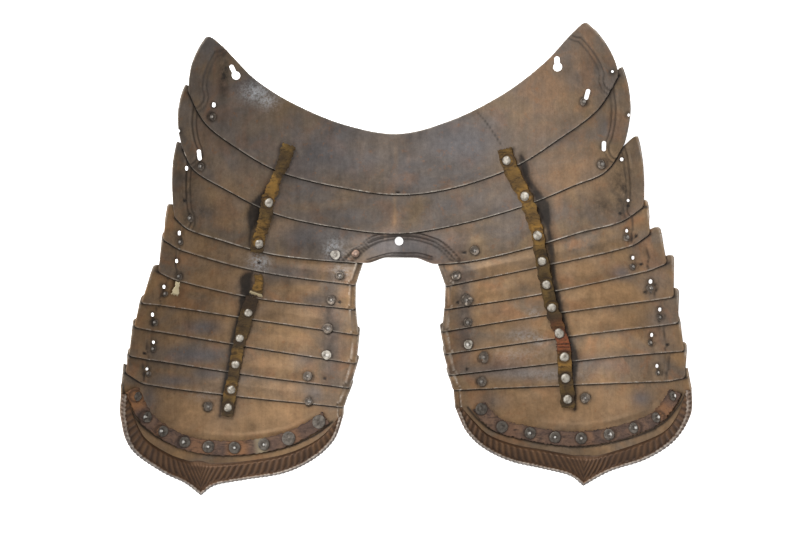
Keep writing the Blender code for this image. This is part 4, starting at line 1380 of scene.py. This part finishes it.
def strip_spots(marks, seed):
    """Places over a strip with torn sides and ragged ends, with shares across it."""
    draws = np.random.default_rng(seed)
    line, width = marks[:, :2], marks[:, 2]
    along = unit(np.gradient(line, axis=0))
    across = np.stack([-along[:, 1], along[:, 0]], axis=1)
    place = np.arange(len(line)) * STRAP_STEP
    waves = [(draws.uniform(*LONG_WAVES), draws.uniform(0, 6.3), draws.uniform(*HIGH_WAVES))
             for _ in range(WAVES_IN_EDGE)]
    torn = [
        sum(high * np.sin(2 * math.pi * place / long + start + side * 2) for long, start, high in waves)
        for side in (0, 1)
    ]
    cross = np.linspace(-0.5, 0.5, STRAP_ACROSS + 1)
    spots = line[:, None] + across[:, None] * (
        width[:, None, None] * cross[None, :, None]
        + torn[0][:, None, None] * np.clip(-2 * cross, 0, 1)[None, :, None]
        + torn[1][:, None, None] * np.clip(2 * cross, 0, 1)[None, :, None]
    )
    ragged = draws.uniform(-RAGGED, RAGGED, (2, STRAP_ACROSS + 1))
    spots[0] += along[0] * ragged[0][:, None]
    spots[-1] += along[-1] * ragged[1][:, None]
    return spots, cross


def strip_height(spots, cross, bulge):
    """Bulges and creases between the rivets, and a dent round each."""
    x, y = spots[..., 0], spots[..., 1]
    press = distance(press_tree, x, y)
    free = ease((press - PRESSED) / FREE_SPAN)
    high = bulge * free * (1 - SAG_AT_SIDES * np.abs(2 * cross)[None, :] ** 3)
    high += 0.16 * np.sin(x * 0.9 + y * 0.35) * free + 0.1 * np.sin(y * 2.1 - x * 0.6)
    return high - 0.25 * bell(press - 5.2, 1.0)


# %% Colour and cut of a strip
ZONE_SOFT = 0.02
LEAST_CUT = 0.0101


def paint_strip(made, marks, zones):
    points = points_of(made)
    tree = tree_of(marks[:, :2])
    near = np.array([tree.find((a, b, 0))[1] for a, b in points[:, :2]])
    share = near / (len(marks) - 1)
    to_side = distance(tree, points[:, 0], points[:, 1]) / (marks[near, 2] / 2)
    layers = {paint_name: np.zeros(len(near)) for paint_name in ("ochre", "red", "pale")}
    layers["grime"] = 0.45 * ease((to_side - 0.8) / 0.25)
    for zone in (Zone(*row) for row in zones):
        inside = ease((share - zone.start + ZONE_SOFT) / (2 * ZONE_SOFT))
        inside = inside * ease((zone.end - share + ZONE_SOFT) / (2 * ZONE_SOFT))
        layers[zone.paint] = np.maximum(layers[zone.paint], zone.strength * inside)
    around = distance(press_tree, points[:, 0], points[:, 1])
    layers["grime"] = np.maximum(layers["grime"], 0.7 * bell(around - 5.4, 1.3))
    paint(made.data, **layers)


def cut_of(spots, middle):
    """The strip's width, length and area in metres, measured on the hollow."""
    flat = on_hollow(spots, np.full(spots.shape[:2], middle))
    down, over = np.diff(flat, axis=0), np.diff(flat, axis=1)
    area = np.linalg.norm(np.cross(down[:, :-1], over[:-1]), axis=-1).sum()
    length = np.linalg.norm(down, axis=-1).sum(axis=0).max()
    width = np.linalg.norm(over, axis=-1).sum(axis=1).max()
    return max(LEAST_CUT, float(width)), float(length), float(area)


# %% Every strip of leather
def leather_strip(row, middle, finish, seed):
    wall = LEATHER_WALL if row.name in NODES else SCRAP_WALL
    marks = evenly([StrapMark(*mark) for mark in row.marks], STRAP_STEP)
    spots, cross = strip_spots(marks, seed)
    placed = on_hollow(spots, middle + strip_height(spots, cross, row.bulge))
    made = shell(row.name + "_fine", placed, wall, bevel=min(0.5, wall / 4))
    made.data.materials.append(finish)
    paint_strip(made, marks, row.zones)
    width, length, area = cut_of(spots, middle)
    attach(made, "root")
    if row.name in NODES:
        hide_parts(row.name)
    print(f"{made.name}: cut {width * 1000:.1f} x {length * 1000:.0f} mm, {area * 1e4:.1f} cm2")
    return made


strips = {}
for seed, row in enumerate(STRAPS, 31):
    strips[row.name] = leather_strip(row, STRAP_MIDDLE, strap_leather, seed)
for seed, row in enumerate(LININGS, 51):
    strips[row.name] = leather_strip(row, LINING_MIDDLE, lining_leather, seed)

# %% [markdown]
# ## Rivets
#
# Rivets are turned shapes: a profile spun round its axis, as a smith's die leaves them, then knocked
# a little out of round. The ones on the straps are flat and bright from the hammer. The ones on the
# lining hold dark washers, and some washers have lost theirs.

# %% Rivet finishes
GLINT, RIVET_DARK = (0.78, 0.76, 0.72), (0.03, 0.022, 0.017)


def rivet_steel(name, tone, dark, roughness, metallic):
    finish = Finish(name, metallic=metallic)
    broad = finish.noise(330, 3)
    fine = finish.noise(1100, 4, rough=0.7)
    colour = finish.ramp(broad, (0.36, dark), (0.56, tone))
    colour = finish.blend(finish.level(fine, 0.56, 0.7, 0, 0.5), colour, [part * 0.5 for part in dark])
    colour = finish.blend(finish.painted("grime"), colour, RIVET_DARK)
    colour = finish.blend(finish.painted("edge"), colour, GLINT)
    finish.set("Base Color", colour)
    finish.set("Roughness", finish.level(broad, 0.3, 0.7, roughness + 0.08, roughness - 0.04))
    finish.set("Normal", finish.bump(fine, 0.00015, 0.5))
    return finish.material


bright_rivet = rivet_steel("bright_rivet", (0.38, 0.35, 0.30), (0.17, 0.145, 0.115), 0.5, 0.55)
dull_washer = rivet_steel("dull_washer", (0.105, 0.090, 0.075), (0.055, 0.046, 0.038), 0.46, 0.7)
ring_iron = rivet_steel("ring_iron", (0.125, 0.100, 0.078), (0.060, 0.047, 0.037), 0.42, 0.7)
copper_rivet = rivet_steel("copper_rivet", (0.34, 0.22, 0.16), (0.20, 0.125, 0.090), 0.5, 0.5)
pale_washer = rivet_steel("pale_washer", (0.42, 0.39, 0.34), (0.20, 0.175, 0.15), 0.6, 0.1)


# %% Turned rivets
KNOCKS = 5


def turned(profile, spot, offset, draws, knock, sides=28):
    """A profile of (radius, height) spun round the upright at a spot, in the tables' millimetres."""
    shape = bmesh.new()
    verts = [shape.verts.new((radius * MM, 0, height * MM)) for radius, height in profile]
    edges = [shape.edges.new(pair) for pair in zip(verts, verts[1:])]
    bmesh.ops.spin(shape, geom=verts + edges, cent=(0, 0, 0), axis=(0, 0, 1), dvec=(0, 0, 0),
                   angle=2 * math.pi, steps=sides, use_merge=True)
    bmesh.ops.remove_doubles(shape, verts=shape.verts, dist=MERGE)
    bmesh.ops.recalc_face_normals(shape, faces=shape.faces)
    leans = [(draws.uniform(0, 2 * math.pi), draws.uniform(1, 4), draws.uniform(0.3, 1))
             for _ in range(KNOCKS)]
    for vert in shape.verts:
        turn, radius = math.atan2(vert.co.y, vert.co.x), math.hypot(vert.co.x, vert.co.y)
        wave = sum(high * math.cos(round(times) * (turn - start)) for start, times, high in leans)
        vert.co.x *= 1 + knock * wave * 0.5
        vert.co.y *= 1 + knock * wave * 0.5
        vert.co.z += knock * 1.6 * wave * radius * 0.35
    place = np.array(spot, float)
    up = Vector(upright(place[0], place[1])).to_track_quat("Z", "Y").to_matrix().to_4x4()
    seat = Vector(on_hollow(place, np.array(offset)))
    bmesh.ops.transform(shape, matrix=Matrix.Translation(seat) @ up, verts=shape.verts)
    return shape


def finished(name, shapes, finish, node=None):
    """One piece from one or more shapes, with its ride."""
    mesh = joined(name, shapes)
    mesh.materials.append(finish)
    smooth(mesh, 38)
    made = add_piece(name, mesh)
    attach(made, "root")
    if node:
        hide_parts(node)
    return made


# %% Profiles
def flat_head(radius, high):
    return [(0, high), (radius * 0.4, high * 0.98), (radius * 0.72, high * 0.9),
            (radius * 0.9, high * 0.68), (radius, high * 0.25), (radius * 0.96, 0), (0, 0)]


def washer(radius, high, centre):
    return [(0, high + centre), (1.0, high + centre * 0.85), (1.6, high * 0.75),
            (radius * 0.6, high * 0.8), (radius * 0.82, high), (radius * 0.97, high * 0.75),
            (radius, high * 0.3), (radius * 0.96, 0), (0, 0)]


def copper_head(radius):
    return flat_head(radius, 1.3)


def ring(radius):
    return [(0, 1.25), (1.1, 1.1), (1.5, 0.55), (radius * 0.62, 0.5), (radius * 0.8, 0.85),
            (radius * 0.95, 0.7), (radius, 0.1), (radius * 0.96, -0.2), (0, -0.2)]


# %% Rivets on the leathers
RIVET_BASE = LEATHER_WALL / 2 - 0.05
HEAD_HIGH, WASHER_HIGH = 1.7, 1.0
RIVET_LEFT, RIVET_LOST = 1.1, 0.1
PLAIN_WASHERS = (1, 8, 9, 10, 11)
rivet_draws = np.random.default_rng(101)
for number, rivet in enumerate(STRAP_RIVETS, 1):
    node = f"{rivet.carrier}_rivet_{number:02d}"
    profile = flat_head(rivet.radius, HEAD_HIGH)
    shape = turned(profile, rivet[1:3], STRAP_MIDDLE + RIVET_BASE, rivet_draws, 0.05)
    finished(node + "_fine", [shape], bright_rivet, node)
for number, rivet in enumerate(WASHERS, 1):
    node = f"{rivet.carrier}_washer_{number:02d}"
    profile = washer(rivet.radius, WASHER_HIGH, RIVET_LOST if number in PLAIN_WASHERS else RIVET_LEFT)
    shape = turned(profile, rivet[1:3], LINING_MIDDLE + RIVET_BASE, rivet_draws, 0.04)
    made = finished(node + "_fine", [shape], dull_washer, node)
    points = points_of(made)
    middle = np.hypot(points[:, 0] - rivet.x, points[:, 1] - rivet.y)
    glint = 0.0 if number in PLAIN_WASHERS else 0.7
    glint = glint * np.clip(1 - (middle / 1.4) ** 4, 0, 1)
    # The middle's glint is painted on, and a darker ring is painted round it.
    paint(made.data, edge=glint, grime=0.6 * bell(middle - 2.2, 0.6))
print(len(STRAP_RIVETS), "strap rivets and", len(WASHERS), "washers")

# %% [markdown]
# The lames also have loose rivets of their own near each end. Small washers round them stand just
# proud of the plate. They are too small to carry anything, so they are joined in a few pieces.

# %% Height of what lies under a place
RAY_FROM = 0.3
graph = bpy.context.evaluated_depsgraph_get()
surface_of = {name: BVHTree.FromObject(made, graph) for name, made in plates.items()}


def top_offset(x, y, trees=None):
    """How far the highest plate face at a place lies over the hollow, in millimetres."""
    start = Vector(((x - CENTRE[0]) * MM, (y - CENTRE[1]) * MM, RAY_FROM))
    hits = [tree.ray_cast(start, Vector((0, 0, -1)))[0] for tree in trees or surface_of.values()]
    highest = max(hit.z for hit in hits if hit is not None) / MM
    level = float(rise(x, y)) + SHINGLE + PLATE_WALL / 2
    return (highest - level) * float(upright(np.array(float(x)), np.array(float(y)))[2])


# %% Rivets on the plates
RingKind = namedtuple("RingKind", "kind finish profile knock shine")
RING_KINDS = [
    RingKind("ring", ring_iron, ring, 0.07, 0.3),
    RingKind("bright", bright_rivet, ring, 0.07, 0.8),
    RingKind("copper", copper_rivet, copper_head, 0.07, 0.1),
    RingKind("pale", pale_washer, ring, 0.16, 0.0),
]
RING_SIDES = 22
for row in RING_KINDS:
    marks = RINGS[row.kind]
    shapes = [
        turned(row.profile(mark.radius), mark[:2], top_offset(mark.x, mark.y), rivet_draws, row.knock,
               RING_SIDES)
        for mark in marks
    ]
    made = finished(f"plate_rivets_{row.kind}", shapes, row.finish)
    points = points_of(made)
    away = distance(tree_of(marks), points[:, 0], points[:, 1])
    # The middle's shine is painted on, and a darker ring is painted round it.
    paint(made.data, edge=row.shine * bell(away, 1.2), grime=0.8 * bell(away - 2.0, 0.55))
    print(made.name, len(shapes))

# %% [markdown]
# Below its middle the right strap was mended, and a thread is wound round it there. Each turn is a
# thin tube that is dropped on what lies under it, first the plate, then the leather, so that it
# bends over the strap's sides by itself.

# %% Mending thread
THREAD_RADIUS, THREAD_SIDES, THREAD_POINTS, THREAD_SLANT = 0.5, 8, 25, 0.9
THREAD_PAST, THREAD_LIFT = 0.9, 0.7
THREAD_LEVELS = (-81.5, -84.5, -88)
MENDED = next(row for row in STRAPS if row.name == "strap_right")
mended_surface = BVHTree.FromObject(strips[MENDED.name], bpy.context.evaluated_depsgraph_get())
thread_finish = leather("mending_thread", light=(0.11, 0.045, 0.024), middle_tone=(0.075, 0.030, 0.017),
                        dark=(0.040, 0.018, 0.012), red=(0.09, 0.03, 0.015))


def thread_turn(level):
    """One turn of thread over the strap, as a closed tube laid on what is under it."""
    marks = evenly(MENDED.marks, STRAP_STEP)
    at = int(np.argmin(np.abs(marks[:, 1] - level)))
    along = unit(marks[at + 1, :2] - marks[at - 1, :2])
    across = np.array([-along[1], along[0]])
    cross = np.linspace(-1, 1, THREAD_POINTS)[:, None]
    spots = marks[at, :2] + across * cross * (marks[at, 2] / 2 + THREAD_PAST)
    spots += along * cross * THREAD_SLANT
    trees = [mended_surface, *surface_of.values()]
    high = np.array([top_offset(a, b, trees) for a, b in spots])
    points = np.empty((THREAD_POINTS, THREAD_SIDES, 3))
    for row in range(THREAD_SIDES):
        turn = 2 * math.pi * row / THREAD_SIDES
        side = along * THREAD_RADIUS * math.cos(turn)
        points[:, row] = on_hollow(spots + side, high + THREAD_RADIUS * (THREAD_LIFT + math.sin(turn)))
    mesh = tidy(grid_mesh("thread", points, True), close_ends=True)
    shape = bmesh.new()
    shape.from_mesh(mesh)
    bpy.data.meshes.remove(mesh)
    return shape


thread = finished("mending_thread", [thread_turn(level) for level in THREAD_LEVELS], thread_finish)
print(thread.name, len(thread.data.polygons), "faces")

# %% [markdown]
# ## Last step
#
# The punches have done their work and go. The dressed model must not outgrow the imported one.

# %% The punches go
for made in (hole_cutter, slot_cutter):
    bpy.data.objects.remove(made, do_unlink=True)
